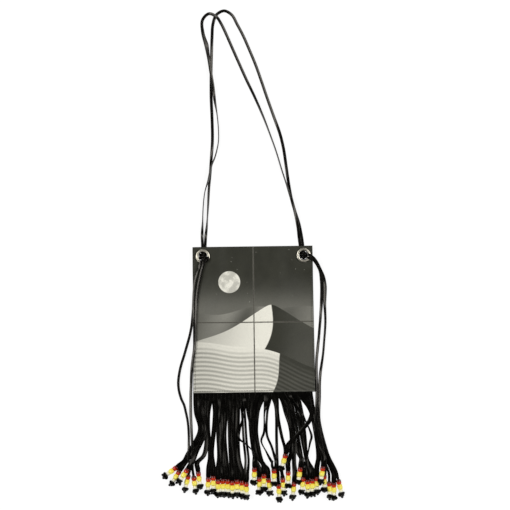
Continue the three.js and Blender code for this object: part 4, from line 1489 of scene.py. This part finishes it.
@dataclass
class Laces:
    """The strap's two laces and the four loose ends."""

    sizes: LaceSizes
    finishes: Finishes

    def path(self, lace: LaceRun) -> tuple[Array, Array, Array]:
        """The line of a lace, its roll and its width.

        The route's points stay; the height grows by what the roll adds to the band's half height, and by a
        hump where the route lifts over another lace.

        Args:
            lace: the lace.
        Returns:
            The path's points, and the roll and the share of the usual width at each.
        """
        sizes, points, run = self.sizes, lace.route, lace.run
        if run is not None:
            last = [run.along(-run.sizes.lead_in), run.start, run.along(run.sizes.stack), run.knot, run.tip]
            points = np.concatenate([points, np.array(last)])
        path = smooth_path(points, sizes.step)
        roll, broad, aside = lace.at(distances(path))
        kernel = np.hanning(2 * sizes.smoothing + 1)
        roll = np.convolve(np.pad(roll, sizes.smoothing, mode="edge"), kernel / kernel.sum(), mode="valid")
        path[:, 0] += aside
        flat, half = sizes.thickness / 2.0, sizes.half_height(roll, broad)
        rise = half - flat
        if run is None:
            over = np.clip((path[:, 2] - sizes.rest) / sizes.crossing_rise, 0.0, 1.0)
            rise += over * sizes.crossing_lift - (1.0 - over) * (sizes.rest - flat - sizes.floor_gap)
        path[:, 2] = np.maximum(path[:, 2] + rise, half + sizes.floor_gap)
        return path, roll, broad

    def build(self, lace: LaceRun, far_end: str, with_pieces: Sequence[Piece]) -> Piece:
        """Args:
            lace: the lace.
            far_end: what its far end is; not used.
            with_pieces: the pieces on it; not used.
        Returns:
            The piece.
        """
        path, roll, broad = self.path(lace)
        rounding = rounded_ends(path, self.sizes.end_round * self.sizes.thickness)
        scale = rounding * np.stack([broad, np.ones_like(broad)], -1)
        band = swept(path, roll, strip_outline(self.sizes.width, self.sizes.thickness), scale)
        piece = band.to_object(f"{lace.node}_leather", [self.finishes.lace])
        settle(piece, "black_leather", lace.node)
        LOG.info("%s is %.3f m long", piece.name, distances(path)[-1])
        return piece


@dataclass(frozen=True)
class KnotTier:
    """One trefoil of the knot in an eyelet: its height, its turn, its reach, and whether it lies aside."""

    height: float
    turn: float
    reach: float
    aside: bool = False


@dataclass
class EyeletKnots:
    """The knots in the eyelets: trefoils of lace on top of each other, and on the left a bight over the ring.

    Attributes:
        lace, bight_lace: width and thickness of the lace.
        bight_half, bight_height: half the bight's size, out and along, and its height and how that changes.
    """

    finishes: Finishes
    steps: int = 120
    tiers: tuple[KnotTier, ...] = (
        KnotTier(0.0042, 0.0, 0.0053), KnotTier(0.0066, 1.05, 0.0053), KnotTier(0.0092, 0.5, 0.0042, True),
    )
    lace: tuple[float, float] = (0.0038, 0.0018)
    weave: float = 0.0013
    roll: float = 0.25
    roll_phase: float = 0.6
    left_aside: tuple[float, float] = (0.0006, -0.0020)
    right_aside: tuple[float, float] = (-0.0008, -0.0004)
    bight_lace: tuple[float, float] = (0.0042, 0.0014)
    bight_out: tuple[float, float] = (0.72, -0.69)
    bight_along: tuple[float, float] = (0.69, 0.72)
    bight_reach: float = 0.0078
    bight_half: tuple[float, float] = (0.0026, 0.0040)
    bight_height: tuple[float, float] = (0.0117, 0.0004)
    bight_roll: float = 0.2

    def tier(self, tier: KnotTier, middle: Array) -> Surface:
        """One trefoil, turned in its plane, that rises and falls three times.

        Args:
            tier: the trefoil.
            middle: its middle as seen from above.
        Returns:
            The band.
        """
        t, plan = trefoil(self.steps)
        cos, sin = math.cos(tier.turn), math.sin(tier.turn)
        level = plan @ np.array([[cos, sin], [-sin, cos]]) * tier.reach + middle
        path = np.concatenate([level, (tier.height + self.weave * np.sin(3.0 * t))[:, None]], axis=1)
        roll = self.roll * np.sin(3.0 * t + self.roll_phase)
        return swept(path, roll, band_outline(*self.lace, points=12, squareness=2.6), closed=True)

    def bight(self, middle: Array) -> Surface:
        """The loop over the ring: an oval beside the eyelet's middle.

        Args:
            middle: the eyelet's middle as seen from above.
        Returns:
            The band.
        """
        t = np.linspace(0.0, FULL_TURN, self.steps, endpoint=False)[:, None]
        (half_out, half_along), (height, change) = self.bight_half, self.bight_height
        out, along = self.bight_reach + half_out * np.cos(t), half_along * np.sin(t)
        level = middle + np.array(self.bight_out) * out + np.array(self.bight_along) * along
        path = np.concatenate([level, height + change * np.cos(t)], axis=1)
        roll = self.bight_roll * np.sin(2.0 * t[:, 0])
        return swept(path, roll, band_outline(*self.bight_lace, points=12, squareness=3.0), closed=True)

    def build(self, side: Side, middle: tuple[float, float]) -> Piece:
        """Ties the knot in one eyelet.

        Args:
            side: left or right.
            middle: the eyelet's middle.
        Returns:
            The piece.
        """
        centre = np.array(middle)
        aside = np.array(self.left_aside if side is Side.LEFT else self.right_aside)
        parts = [self.tier(tier, centre + tier.aside * aside) for tier in self.tiers]
        if side is Side.LEFT:
            parts.append(self.bight(centre))
        label = side.name.lower()
        piece = Surface.joined(parts).to_object(f"{label}_lace_knot", [self.finishes.fringe])
        return settle(piece, "black_leather", f"{label}_strap_knot")


@dataclass(frozen=True)
class Strand:
    """One pair of fringe laces: the points that it passes, and its bead stack.

    Attributes:
        via: points in bead pitches from the middle and shares of the drop.
        lean: how far the stack leans sideways for each unit down.
        over: whether the pair crosses over its neighbours.
        gather: how far the two laces lie apart, as a share of the usual.
        stray, stray_side: points that one lace passes instead, and which lace that is.
    """

    via: tuple[tuple[float, float], ...]
    bead: tuple[float, float]
    lean: float = 0.0
    level: Level = Level.FLOOR
    over: bool = False
    gather: float = 1.0
    stray: tuple[tuple[float, float], ...] = ()
    stray_side: Side = Side.LEFT


STRANDS = (
    Strand(((-11.2, 0.22), (-10.5, 0.42), (-12.7, 0.68)), (-15.21, 0.844), -1.4),
    Strand(((-10.55, 0.22), (-9.75, 0.42), (-11.95, 0.68)), (-14.6, 0.891), -0.64),
    Strand(((-10, 0.22), (-9.5, 0.43), (-11.25, 0.67)), (-13.08, 0.867), -0.68, Level.HEAP),
    Strand(((-9.3, 0.22), (-9.1, 0.44), (-9.7, 0.7)), (-10.87, 0.909), 0.12),
    Strand(((-8.85, 0.22), (-8.95, 0.4), (-8.65, 0.72)), (-9, 0.975), -0.05),
    Strand(((-7.6, 0.22), (-7.75, 0.4), (-8.3, 0.68)), (-8.05, 0.96)),
    Strand(((-6.9, 0.22), (-7, 0.45), (-6.85, 0.72)), (-7.14, 1)),
    Strand(((-6.25, 0.22), (-6.4, 0.49), (-6.35, 0.76)), (-6.24, 0.997)),
    Strand(((-5.5, 0.22), (-5.8, 0.49), (-5.55, 0.76)), (-5.34, 1)),
    Strand(((-4.75, 0.22), (-4.75, 0.49), (-4.65, 0.76)), (-4.44, 1.016)),
    Strand(((-3.95, 0.22), (-4.1, 0.49), (-3.9, 0.77)), (-3.54, 1.005)),
    Strand(((-3.25, 0.22), (-3.35, 0.49), (-3.15, 0.75)), (-2.64, 1.018), gather=1.15),
    Strand(((-2.2, 0.22), (-1.85, 0.55), (-1.55, 0.77)), (-1.74, 1.034), gather=1.3),
    Strand(((-1.5, 0.22), (-0.45, 0.5), (-0.1, 0.68)), (-0.18, 0.868), -0.05, Level.UPPER,
           stray=((-1.9, 0.2), (-2.9, 0.42), (-3, 0.52), (-1.7, 0.585), (-0.3, 0.68))),
    Strand(((-0.85, 0.2), (-0.6, 0.5), (0.1, 0.77)), (0.69, 0.98)),
    Strand(((0.15, 0.12), (-0.1, 0.28), (-0.15, 0.48), (0.8, 0.75)), (1.59, 0.944)),
    Strand(((1.15, 0.08), (0.65, 0.2), (0.25, 0.43), (0.5, 0.58), (1.35, 0.8)), (2.5, 0.992), 0.1),
    Strand(((2.4, 0.09), (2.15, 0.22), (2.05, 0.48), (2.9, 0.62), (3.55, 0.75)), (3.54, 0.886), 0, Level.UPPER,
           gather=1.6, stray=((2.2, 0.1), (1.85, 0.25), (1.75, 0.45), (1.2, 0.55), (2.1, 0.67), (3.2, 0.79))),
    Strand(((3.95, 0.12), (4.15, 0.27), (4.12, 0.5), (4.2, 0.8)), (4.4, 1.062), 0.05, gather=0.25),
    Strand(((4.3, 0.12), (4.5, 0.3), (5.1, 0.5), (5.7, 0.66), (5.3, 0.83)), (5.2, 0.991), 0.1, gather=0.3),
    Strand(((5.4, 0.09), (6, 0.23), (6.8, 0.38), (7, 0.52), (6.85, 0.7)), (6.25, 0.912), 0, Level.UPPER),
    Strand(((6, 0.1), (6.6, 0.24), (7.35, 0.48), (7.4, 0.8)), (7.33, 1.041), -0.1),
    Strand(((6.6, 0.1), (7.15, 0.23), (7.85, 0.48), (8.3, 0.69)), (8.53, 0.872), -0.15, Level.UPPER),
    Strand(((7.2, 0.1), (7.7, 0.23), (8.4, 0.48), (9.1, 0.74)), (9.06, 0.986), -0.1,
           stray=((7.9, 0.15), (9, 0.24), (9.7, 0.33), (10.45, 0.43), (10.8, 0.51), (10.5, 0.575), (10, 0.71),
                  (9.3, 0.86)),
           stray_side=Side.RIGHT),
    Strand(((7.8, 0.1), (8.25, 0.23), (8.9, 0.48), (9.8, 0.77)), (9.93, 1.015)),
    Strand(((8.4, 0.1), (8.85, 0.23), (9.4, 0.48), (9.8, 0.765)), (10.83, 1.008)),
    Strand(((9.5, 0.1), (10.75, 0.23), (11.6, 0.46), (12.1, 0.74)), (11.73, 0.983)),
    Strand(((10, 0.1), (10.95, 0.23), (11.6, 0.44), (12.3, 0.63)), (12.81, 0.862), -0.15, Level.HEAP),
    Strand(((10.4, 0.1), (11.15, 0.23), (11.9, 0.43), (12.75, 0.72)), (13.12, 0.961)),
    Strand(((10.7, 0.1), (11.35, 0.23), (12.2, 0.41), (13.7, 0.76)), (14.94, 1.054)),
    Strand(((11, 0.19), (10.5, 0.32), (8.4, 0.47)), (5.73, 0.717), -0.3, Level.UPPER, over=True),
)


@dataclass
class Fringe:
    """One leather strip: a header in the bottom seam, slit into laces that hang in pairs, one pair to a bead stack.

    Attributes:
        root_run, flare_run, bead_run, tip_run: where a lace's width changes, counted from the header, from the
            beads twice and from its end, and over what length.
        still: lengths over which its twist grows at the header and dies away at the beads.
        gathering, closing: shares of the spread above the beads, and from there to the tip.
    """

    form: BagForm
    beads: BeadSizes
    finishes: Finishes
    rng: np.random.Generator
    thickness: float = 0.0010
    header_thickness: float = 0.0015
    lace_width: float = 0.0042
    root_overlap: float = 0.0008
    bead_width: float = 0.0022
    floor_z: float = 0.00075
    stagger: float = 0.0004
    pair_lift: float = 0.0005
    crossing_lift: float = 0.0022
    climb_share: float = 0.45
    heap_climb_share: float = 0.7
    heap_via_share: float = 0.4
    spread: float = 0.0019
    step: float = 0.0017
    header_shift: float = -0.0023
    crowding: float = 0.0129
    crowded_from: float = 12.5
    crowded_over: float = 6.0
    root_in: float = 0.004
    root_out: float = 0.002
    still: tuple[float, float] = (0.03, 0.009)
    swing: tuple[float, float] = (0.08, 0.42)
    waves: tuple[float, float] = (0.8, 2.2)
    stray_swing: float = 1.1
    flare: float = 1.18
    root_run: tuple[float, float] = (0.010, 0.030)
    flare_run: tuple[float, float] = (-0.03, 0.015)
    bead_run: tuple[float, float] = (0.003, 0.0045)
    tip_run: tuple[float, float] = (-0.0085, 0.004)
    end_round: float = 0.0012
    scatter: tuple[float, float] = (0.7, 1.15)
    gathering: tuple[float, ...] = (1.0, 0.95)
    closing: tuple[float, ...] = (0.8, 0.4, 0.0, 0.0)
    tip_turn: float = 0.75
    tip_scatter: float = 0.3
    tip_lengths: tuple[float, float] = (0.7, 1.3)
    tip_sink: float = 0.001
    header_steps: int = 60

    @property
    def width(self) -> float:
        """Width of the whole strip."""
        return self.form.bottom_width - 2.0 * self.form.header_inset

    @property
    def pair_pitch(self) -> float:
        """Width of the header above one pair of laces."""
        return self.width / len(STRANDS)

    def hem_x(self, order: int) -> float:
        """Where a pair leaves the header: an even row, with slits that lie closer together at the right end.

        Args:
            order: the pair's place from the left.
        Returns:
            Its x.
        """
        last, most = len(STRANDS) - 1, self.crowded_from + self.crowded_over
        share = ramp((order - self.crowded_from) / self.crowded_over) * (last - order) / (last - most)
        even = (order + 0.5 - len(STRANDS) / 2.0) * self.pair_pitch
        return float(self.header_shift + even + self.crowding * share)

    def hem_pitch(self, order: int) -> float:
        """How far the pairs beside this one lie apart at the header, halved."""
        return (self.hem_x(order + 1) - self.hem_x(order - 1)) / 2.0

    def run(self, strand: Strand) -> BeadRun:
        """Where a strand's beads lie."""
        return BeadRun(strand.bead, strand.lean, strand.level, self.beads)

    def strays(self, strand: Strand, side: Side) -> bool:
        """Whether this lace of a pair leaves the other."""
        return bool(strand.stray) and strand.stray_side is side

    def lace_points(self, order: int, strand: Strand, side: Side) -> Array:
        """The points of one lace of a pair, from the header to its tip.

        They are the pair's own points, moved aside by a seeded amount at each, so that the two laces lie
        beside each other up to the beads. A stray lace passes its own points, on top of the others.

        Args:
            order: the pair's place from the left.
            strand: the pair.
            side: which lace of the pair.
        Returns:
            The points.
        """
        run, stray = self.run(strand), self.strays(strand, side)
        lift = self.crossing_lift if strand.over or stray else (order % 2) * self.stagger
        lowest = self.floor_z + lift + (self.pair_lift if side is Side.RIGHT else 0.0)
        rise = strand.level.value - lowest
        via = np.array([run.at(place, lowest) for place in (strand.stray if stray else strand.via)])
        climb = run.along(-self.beads.lead_in)
        climb[2] = lowest + self.climb_share * rise
        if strand.level is Level.HEAP:
            climb[2] = lowest + self.heap_climb_share * rise
            via[-1, 2] = lowest + self.heap_via_share * rise
        x, edge = self.hem_x(order), self.form.hem_y
        z = self.form.leather + self.form.gap + 0.5 * (self.header_thickness + side.value * self.pair_lift)
        hem = np.array([[x, edge + self.root_in, z], [x, edge - self.root_out, z]])
        ends = [climb, run.along(-self.beads.straight_in), run.start, run.along(self.beads.stack), run.knot]
        turn = side.value * self.rng.uniform(0.0, self.tip_turn) + self.rng.normal(0.0, self.tip_scatter)
        reach = self.beads.knot_radius + self.beads.tip * self.rng.uniform(*self.tip_lengths)
        tip = run.knot + reach * (math.cos(turn) * run.direction - math.sin(turn) * run.frame()[0])
        tip[2] = max(run.tip[2] - self.tip_sink, self.floor_z)
        points = np.concatenate([hem, via, np.array([*ends, tip])])
        spread = self.spread * strand.gather
        aside = np.concatenate([
            np.full(len(hem), self.hem_pitch(order) / 4.0),
            np.zeros(len(via)) if stray else spread * self.rng.uniform(*self.scatter, len(via)),
            spread * np.array(self.gathering), self.spread * np.array(self.closing),
        ])
        level = np.tile([1.0, 0.0, 0.0], (len(points), 1))
        level[len(hem) + len(via):] = -run.frame()[0]
        return points + side.value * aside[:, None] * level

    def lace(self, order: int, strand: Strand, side: Side) -> Surface:
        """One lace: a flat band that leaves the header broad and narrows into its beads, with a slow twist of its own.

        From each stage's start its width w passes to the stage's own: w + (own - w) * ramp of the way along it.

        Args:
            order: the pair's place from the left.
            strand: the strand.
            side: which lace of the pair.
        Returns:
            The band.
        """
        path = smooth_path(self.lace_points(order, strand, side), self.step)
        along = distances(path)
        total = along[-1]
        beads = total - self.beads.stack - 2.0 * self.beads.knot_radius - self.beads.tip - self.beads.straight_in
        free = ramp(along / self.still[0]) * ramp((beads - along) / self.still[1])
        least, most = zip(self.swing, (0.0, FULL_TURN), self.waves)
        swing, phase, waves = self.rng.uniform(least, most)
        swing = self.stray_swing if self.strays(strand, side) else swing
        roll = free * swing * np.sin(FULL_TURN * waves * along / total + phase)
        share = 1.0 if 0 < order < len(STRANDS) - 1 else 0.5
        usual = self.lace_width
        width = np.full_like(along, max(share * self.hem_pitch(order) + self.root_overlap, usual))
        for own, origin, (start, length) in (
            (usual, 0.0, self.root_run), (self.flare * usual, beads, self.flare_run),
            (self.bead_width, beads, self.bead_run), (usual, total, self.tip_run),
        ):
            width += (own - width) * ramp((along - origin - start) / length)
        rise = 0.5 * (width * np.abs(np.sin(roll)) + self.thickness * (np.abs(np.cos(roll)) - 1.0))
        path[:, 2] = np.maximum(path[:, 2] + rise, self.floor_z)
        scale = rounded_ends(path, self.end_round) * np.stack([width / usual, np.ones_like(width)], -1)
        return swept(path, roll, strip_outline(usual, self.thickness), scale)

    def header(self) -> Surface:
        """The uncut strip in the seam: a flat band across the bag.

        Returns:
            The band.
        """
        x = self.header_shift + self.width * np.linspace(-0.5, 0.5, self.header_steps)
        y = self.form.hem_y + self.form.header_depth / 2.0
        z = self.form.leather + self.form.gap + self.header_thickness / 2.0
        path = np.stack([x, np.full_like(x, y), np.full_like(x, z)], -1)
        outline = band_outline(self.form.header_depth, self.header_thickness, points=14, squareness=6.0)
        return swept(path, np.zeros_like(x), outline, rounded_ends(path, MM))

    def build(self, stringer: BeadStringer) -> Piece:
        """Cuts the fringe, strings its beads and ties its knots.

        Args:
            stringer: what makes beads and knots.
        Returns:
            The leather strip.
        """
        laces = [self.lace(order, strand, side) for order, strand in enumerate(STRANDS) for side in Side]
        strip = Surface.joined([self.header(), *laces]).to_object("fringe_leather", [self.finishes.fringe])
        settle(strip, "black_leather", "fringe")
        runs = [self.run(strand) for strand in STRANDS]
        nodes = [f"fringe_beads_{k + 1:02d}" for k in range(len(STRANDS))]
        strung = stringer.string("fringe_beads", runs, *nodes)
        knots = stringer.knots("fringe_knots", runs)
        return strip


def route(*points: tuple[float, ...]) -> Array:
    """The route of a lace in metres, from places in millimetres; one without a height lies flat on the floor."""
    return np.array([point if len(point) == 3 else (*point, FLAT_HEIGHT_MM) for point in points]) * MM


STRAP_UNDER = LaceRun("strap_lace_under", route(
    (-80.9, 106), (-80.2, 125.7), (-78.9, 144.4), (-77, 159.6), (-74.5, 191.9), (-72.4, 225.9), (-70.2, 248),
    (-68.4, 270), (-65.7, 304), (-65.8, 339.7), (-66.9, 380.5), (-66.4, 419.6), (-65.2, 451.9), (-64.1, 479.1),
    (-62.1, 502.9), (-56, 518.1), (-43.1, 524.7), (-30.1, 517.7), (-20.6, 500.6), (-11, 481.8), (-1.6, 459.6),
    (9.4, 432.2), (18.7, 404.9), (28.2, 375.9), (39.3, 343.4), (49.3, 314.4), (55.1, 288.8), (59, 259.9),
    (63, 229.2), (67.1, 205.3), (73.4, 181.5), (79.6, 161), (84.2, 137.1), (85.8, 123.5), (87.6, 106),
), (
    (0, 4), (30, 4), (48, 52), (65, 80), (90, 60), (125, 45), (165, 32), (200, 8), (260, 6), (285, 22),
    (345, 23), (385, 4), (400, 12), (420, 30), (440, 30), (480, 29.5), (530, 29.5), (630, 29), (660, 8),
    (700, 5), (720, 14), (745, 16), (790, 14), (840, 10), (880, 6),
), ((0, 1.08, 0), (30, 1.08, 0), (50, 1.15, 0), (820, 1.15, 0), (850, 1.08, 0)))
STRAP_OVER = LaceRun("strap_lace_over", route(
    (-85.6, 106), (-84.9, 125.8), (-85.2, 144.4), (-84, 166.5), (-82.7, 192), (-79.4, 217.5, 2.4),
    (-73.1, 237.8, 3.6), (-67.6, 261.5, 3.6), (-61.3, 276.7, 2.8), (-55.7, 300.5), (-55, 320.9), (-57, 348.1),
    (-60.9, 373.6, 2.4), (-63.5, 397.5, 3.6), (-67.2, 423, 3.6), (-70.2, 443.5, 2.8), (-74.8, 465.6),
    (-80.1, 489.5), (-79.7, 509.9), (-68.7, 520, 2), (-56, 513.8, 3.6), (-48.3, 502.7, 2.4), (-38.7, 482.2),
    (-30.8, 463.4), (-19.8, 437.7), (-7.2, 408.6), (7, 377.9), (22, 342), (32, 314.6), (42, 285.6),
    (51.9, 251.5, 1.8), (62, 219, 3.6), (68.6, 198.5, 3.6), (73.6, 178.1, 3.6), (77.8, 154.2, 3), (79.4, 137.2),
    (81, 123.5), (82.6, 106),
), (
    (0, 4), (30, 4), (48, 54), (65, 84), (115, 86), (140, 60), (165, 72), (200, 85), (250, 82), (270, 45),
    (287, 12), (310, 18), (350, 22), (380, 23), (395, 8), (410, 14), (445, 30), (475, 30), (560, 31), (600, 46),
    (645, 70), (690, 76), (750, 74), (780, 36), (820, 10), (880, 6),
), (
    (0, 1.08, 0), (30, 1.08, 0), (50, 1.15, 0), (335, 1.15, 0), (352, 1.35, 0.5), (367, 1.75, 1.4),
    (382, 1.4, 0.6), (400, 1.15, 0), (820, 1.15, 0), (850, 1.08, 0),
))
EVEN_TAIL = ((0, 1, 0), (40, 1, 0), (70, 1.12, 0), (270, 1.12, 0), (310, 1, 0))
BROAD_TAIL = ((0, 1, 0), (35, 1, 0), (50, 1.35, 0), (80, 1.3, 0), (110, 1.12, 0), *EVEN_TAIL[3:])
LEFT_TAIL_INNER = LaceRun("left_tail_inner", route(
    (-81.4, 102.4, 12.1), (-82.6, 96.3, 12.1), (-85, 89, 10.9), (-87.4, 81, 9.2), (-89.6, 71, 7.8),
    (-92, 60, 6.6), (-94.2, 46, 5.6), (-95.8, 33, 5.4), (-97.2, 18, 5.3), (-98.3, 3, 5.3), (-99.2, -14, 5.2),
    (-99.9, -33, 5.2), (-101.2, -51, 5.1), (-103.6, -67, 5.1), (-105.3, -80, 5), (-106.3, -92, 3.4),
    (-107.2, -110), (-108, -126), (-108.3, -142, 1.4), (-108.4, -160, 1.8), (-107.8, -178, 3),
    (-107.2, -195, 3), (-106.6, -212, 3), (-105.8, -232, 3),
), (
    (0, 0), (12, 12), (30, 12.5), (65, 13), (80, 20), (100, 19), (115, 32), (145, 28), (160, 15), (200, 15),
    (230, 18), (250, 19.5), (285, 20), (305, 15), (330, 0),
), EVEN_TAIL, BeadRun((-11.75, 0.96), 0.12))
LEFT_TAIL_OUTER = LaceRun("left_tail_outer", route(
    (-86, 102.4, 12.1), (-87.6, 96.5, 12.1), (-90.6, 89.6, 10.9), (-93.8, 83, 8.3), (-96.6, 74.5, 6.5),
    (-98.8, 63, 5.2), (-100.2, 48, 5.1), (-101.1, 31, 5.1), (-102.1, 15, 5.3), (-103.4, 2, 5.3),
    (-105, -10, 5.1), (-107.2, -21, 4.4), (-109.8, -31, 2.6), (-114, -45), (-118.5, -60), (-123.4, -75),
    (-127, -90), (-128.9, -106), (-127.8, -120), (-124, -134), (-119.6, -144), (-116.6, -157),
    (-114.2, -169, 1.6), (-112.9, -180, 2.6), (-112.2, -195, 3.1), (-112.4, -215, 3.2), (-113.2, -236, 3.4),
), (
    (0, 0), (12, 17), (20, 20), (30, 20), (45, 15), (80, 14), (100, 28), (115, 36), (190, 35), (215, 32),
    (240, 36), (280, 42), (310, 30), (345, 0),
), EVEN_TAIL, BeadRun((-12.85, 0.943), -0.25))
RIGHT_TAIL_INNER = LaceRun("right_tail_inner", route(
    (91.2, 104.6, 12.3), (96.6, 102.8, 12.4), (102.8, 99.6, 11), (107.2, 94.4, 7.4), (111.4, 87.2, 3.6),
    (114.6, 79, 1.9), (116.5, 67), (117, 54), (116.7, 40), (115.8, 25), (114.6, 10), (113.4, -4), (112, -18),
    (110.8, -31), (109.4, -43), (108, -55), (106.7, -67), (106, -80), (105.9, -97), (106, -113), (106.1, -128),
    (105.7, -140, 1.7), (105, -152, 2.9), (105, -169, 3.3), (107.4, -186, 3.5), (111.8, -206, 3.8),
    (116, -229, 4.1), (119.4, -247, 4.7),
), (
    (0, 0), (30, 5), (55, 10), (90, 12), (120, 36), (150, 36), (165, 25), (175, 22), (185, 30), (205, 26),
    (220, 22), (255, 21), (280, 8), (330, 0),
), BROAD_TAIL, BeadRun((14.04, 1.041), 0.02))
RIGHT_TAIL_OUTER = LaceRun("right_tail_outer", route(
    (92, 109.6, 12.1), (97.6, 107.6, 12.8), (103.8, 102.6, 13.6), (108.6, 96, 10.6), (112.6, 88.6, 6.2),
    (116, 80.4, 4.3), (119.2, 72, 3.3), (121.4, 63, 1.6), (122.5, 54), (122.1, 40), (121.5, 25), (122, 10),
    (122.2, -4), (121.1, -23), (119.7, -37), (118.4, -52), (116.7, -66), (114.8, -78), (112.9, -90),
    (111.6, -102), (110.9, -114), (110.7, -128), (110.3, -140, 1.4), (109.6, -152, 1.9), (109.5, -169, 3.1),
    (112, -186, 3.3), (117.2, -208, 3.3), (125, -234, 3.2),
), (
    (0, 0), (35, 2), (48, 17), (60, 20), (75, 21), (95, 22), (115, 48), (160, 56), (190, 52), (205, 38),
    (220, 22), (260, 21), (290, 40), (340, 0),
), BROAD_TAIL, BeadRun((15.86, 1.022), 0.22))
TAILS = (LEFT_TAIL_INNER, LEFT_TAIL_OUTER, RIGHT_TAIL_INNER, RIGHT_TAIL_OUTER)


@dataclass
class Studio:
    """The pale floor, the soft light and the camera straight above the bag."""

    view_centre: tuple[float, float] = (0.00415, 0.1093)
    view_width: float = 0.867
    camera_height: float = 2.6
    roll_degrees: float = -0.75
    sensor: float = 36.0
    sky: float = 0.45
    mirrored_sky: float = 0.07
    lamp_power: float = 20.5
    lamp_width: float = 0.7
    lamp_length: float = 2.0
    lamp_reach: float = 1.5
    lamp_ahead: float = 0.40
    lamp_height: float = 1.6
    shadow_share: float = 0.22
    floor_half: float = 4.0
    floor_tone: float = 0.86
    floor_glow: float = 1.06
    white: tuple[float, ...] = (1.0, 1.0, 1.0, 1.0)

    def camera(self) -> None:
        """Puts the camera straight above, turned a little, as the photograph was taken."""
        data = bpy.data.cameras.new("camera")
        data.sensor_width = self.sensor
        data.lens = self.sensor * self.camera_height / self.view_width
        data.clip_end = 20.0
        camera = bpy.data.objects.new("camera", data)
        camera.location = (*self.view_centre, self.camera_height)
        camera.rotation_euler = (0.0, 0.0, math.radians(self.roll_degrees))
        bpy.context.scene.collection.objects.link(camera)
        bpy.context.scene.camera = camera

    @staticmethod
    def seen_directly(graph: Graph) -> Socket:
        """1 for rays from the camera, from a reflection or through glass.

        Args:
            graph: the floor's graph.
        Returns:
            The output that holds it.
        """
        rays = graph.add("ShaderNodeLightPath").outputs
        mirrored = graph.math("MAXIMUM", rays["Is Glossy Ray"], rays["Is Transmission Ray"])
        return graph.math("MAXIMUM", rays["Is Camera Ray"], mirrored)

    def light(self) -> None:
        """An even sky, white where it is seen, and a long soft lamp on each side, aimed half down."""
        world = bpy.data.worlds.new("studio")
        bpy.context.scene.world = world
        world.use_nodes = True
        graph = Graph(world.node_tree)
        graph.tree.nodes.clear()
        rays = graph.add("ShaderNodeLightPath").outputs
        unseen = graph.blend(rays["Is Glossy Ray"], self.sky, self.mirrored_sky)
        strength = graph.blend(rays["Is Camera Ray"], unseen, 1.0)
        back = graph.add("ShaderNodeBackground", {"Color": self.white, "Strength": strength})
        graph.add("ShaderNodeOutputWorld", {"Surface": back.outputs[0]})
        for side in Side:
            data = bpy.data.lights.new(f"{side.name.lower()}_lamp", "AREA")
            data.shape = "RECTANGLE"
            data.size, data.size_y = self.lamp_width, self.lamp_length
            data.energy = self.lamp_power
            lamp = bpy.data.objects.new(data.name, data)
            lamp.location = (side.value * self.lamp_reach, self.lamp_ahead, self.lamp_height)
            lean = math.atan2(self.lamp_reach, self.lamp_height)
            lamp.rotation_euler = (0.0, side.value * lean, 0.0)
            bpy.context.scene.collection.objects.link(lamp)

    def floor(self) -> None:
        """A level floor that is white where it is lit and keeps the bag's soft shadow."""
        corner = self.floor_half * np.array([[-1.0, -1.0, 0.0], [1.0, -1.0, 0.0], [1.0, 1.0, 0.0], [-1.0, 1.0, 0.0]])
        sheet = Surface(corner, [np.arange(4)[None]])
        material = bpy.data.materials.new("pale_floor")
        material.use_nodes = True
        graph = Graph(material.node_tree)
        graph.tree.nodes.clear()
        plain, catch = (
            graph.add("ShaderNodeBsdfDiffuse", {"Color": (tone, tone, tone, 1.0)}).outputs[0]
            for tone in (self.floor_tone, self.shadow_share)
        )
        glow = graph.add("ShaderNodeEmission", {"Color": self.white, "Strength": self.floor_glow - self.shadow_share})
        seen = graph.add("ShaderNodeAddShader", {0: catch, 1: glow.outputs[0]})
        mixed = graph.add("ShaderNodeMixShader", {0: self.seen_directly(graph), 1: plain, 2: seen.outputs[0]})
        graph.add("ShaderNodeOutputMaterial", {"Surface": mixed.outputs[0]})
        sheet.to_object("floor", [material])

    def build(self) -> None:
        """Sets the whole studio."""
        bpy.context.scene.view_settings.view_transform = "Standard"
        self.camera()
        self.light()
        self.floor()


def main() -> None:
    """Builds the studio, then the cords, the pouch and the fringe."""
    logging.basicConfig(level=logging.INFO, format="%(name)s: %(message)s")
    rng = np.random.default_rng(SEED)
    form, sizes, finishes = BagForm(), BeadSizes(), Finishes.make()
    Studio().build()
    stringer = BeadStringer(sizes, finishes, rng)
    laces, eyelet_knots = Laces(LaceSizes(), finishes), EyeletKnots(finishes)
    knots = [eyelet_knots.build(side, middle) for side, middle in zip(Side, form.eyelets)]
    laces.build(STRAP_UNDER, "object", knots)
    laces.build(STRAP_OVER, "object", [])
    for tail in TAILS:
        strung = stringer.string(f"{tail.node}_bead_stack", [tail.run], f"{tail.node}_beads")
        tied = stringer.knots(f"{tail.node}_knot", [tail.run])
        laces.build(tail, "knot", [strung, tied])
    panels = Panels(form, finishes)
    panels.back()
    for row in Row:
        for side in Side:
            panels.front(row, side)
    EdgeStitching(form, finishes).build()
    Eyelets(form, finishes).build()
    Fringe(form, sizes, finishes, rng).build(stringer)


if __name__ == "__main__":
    main()
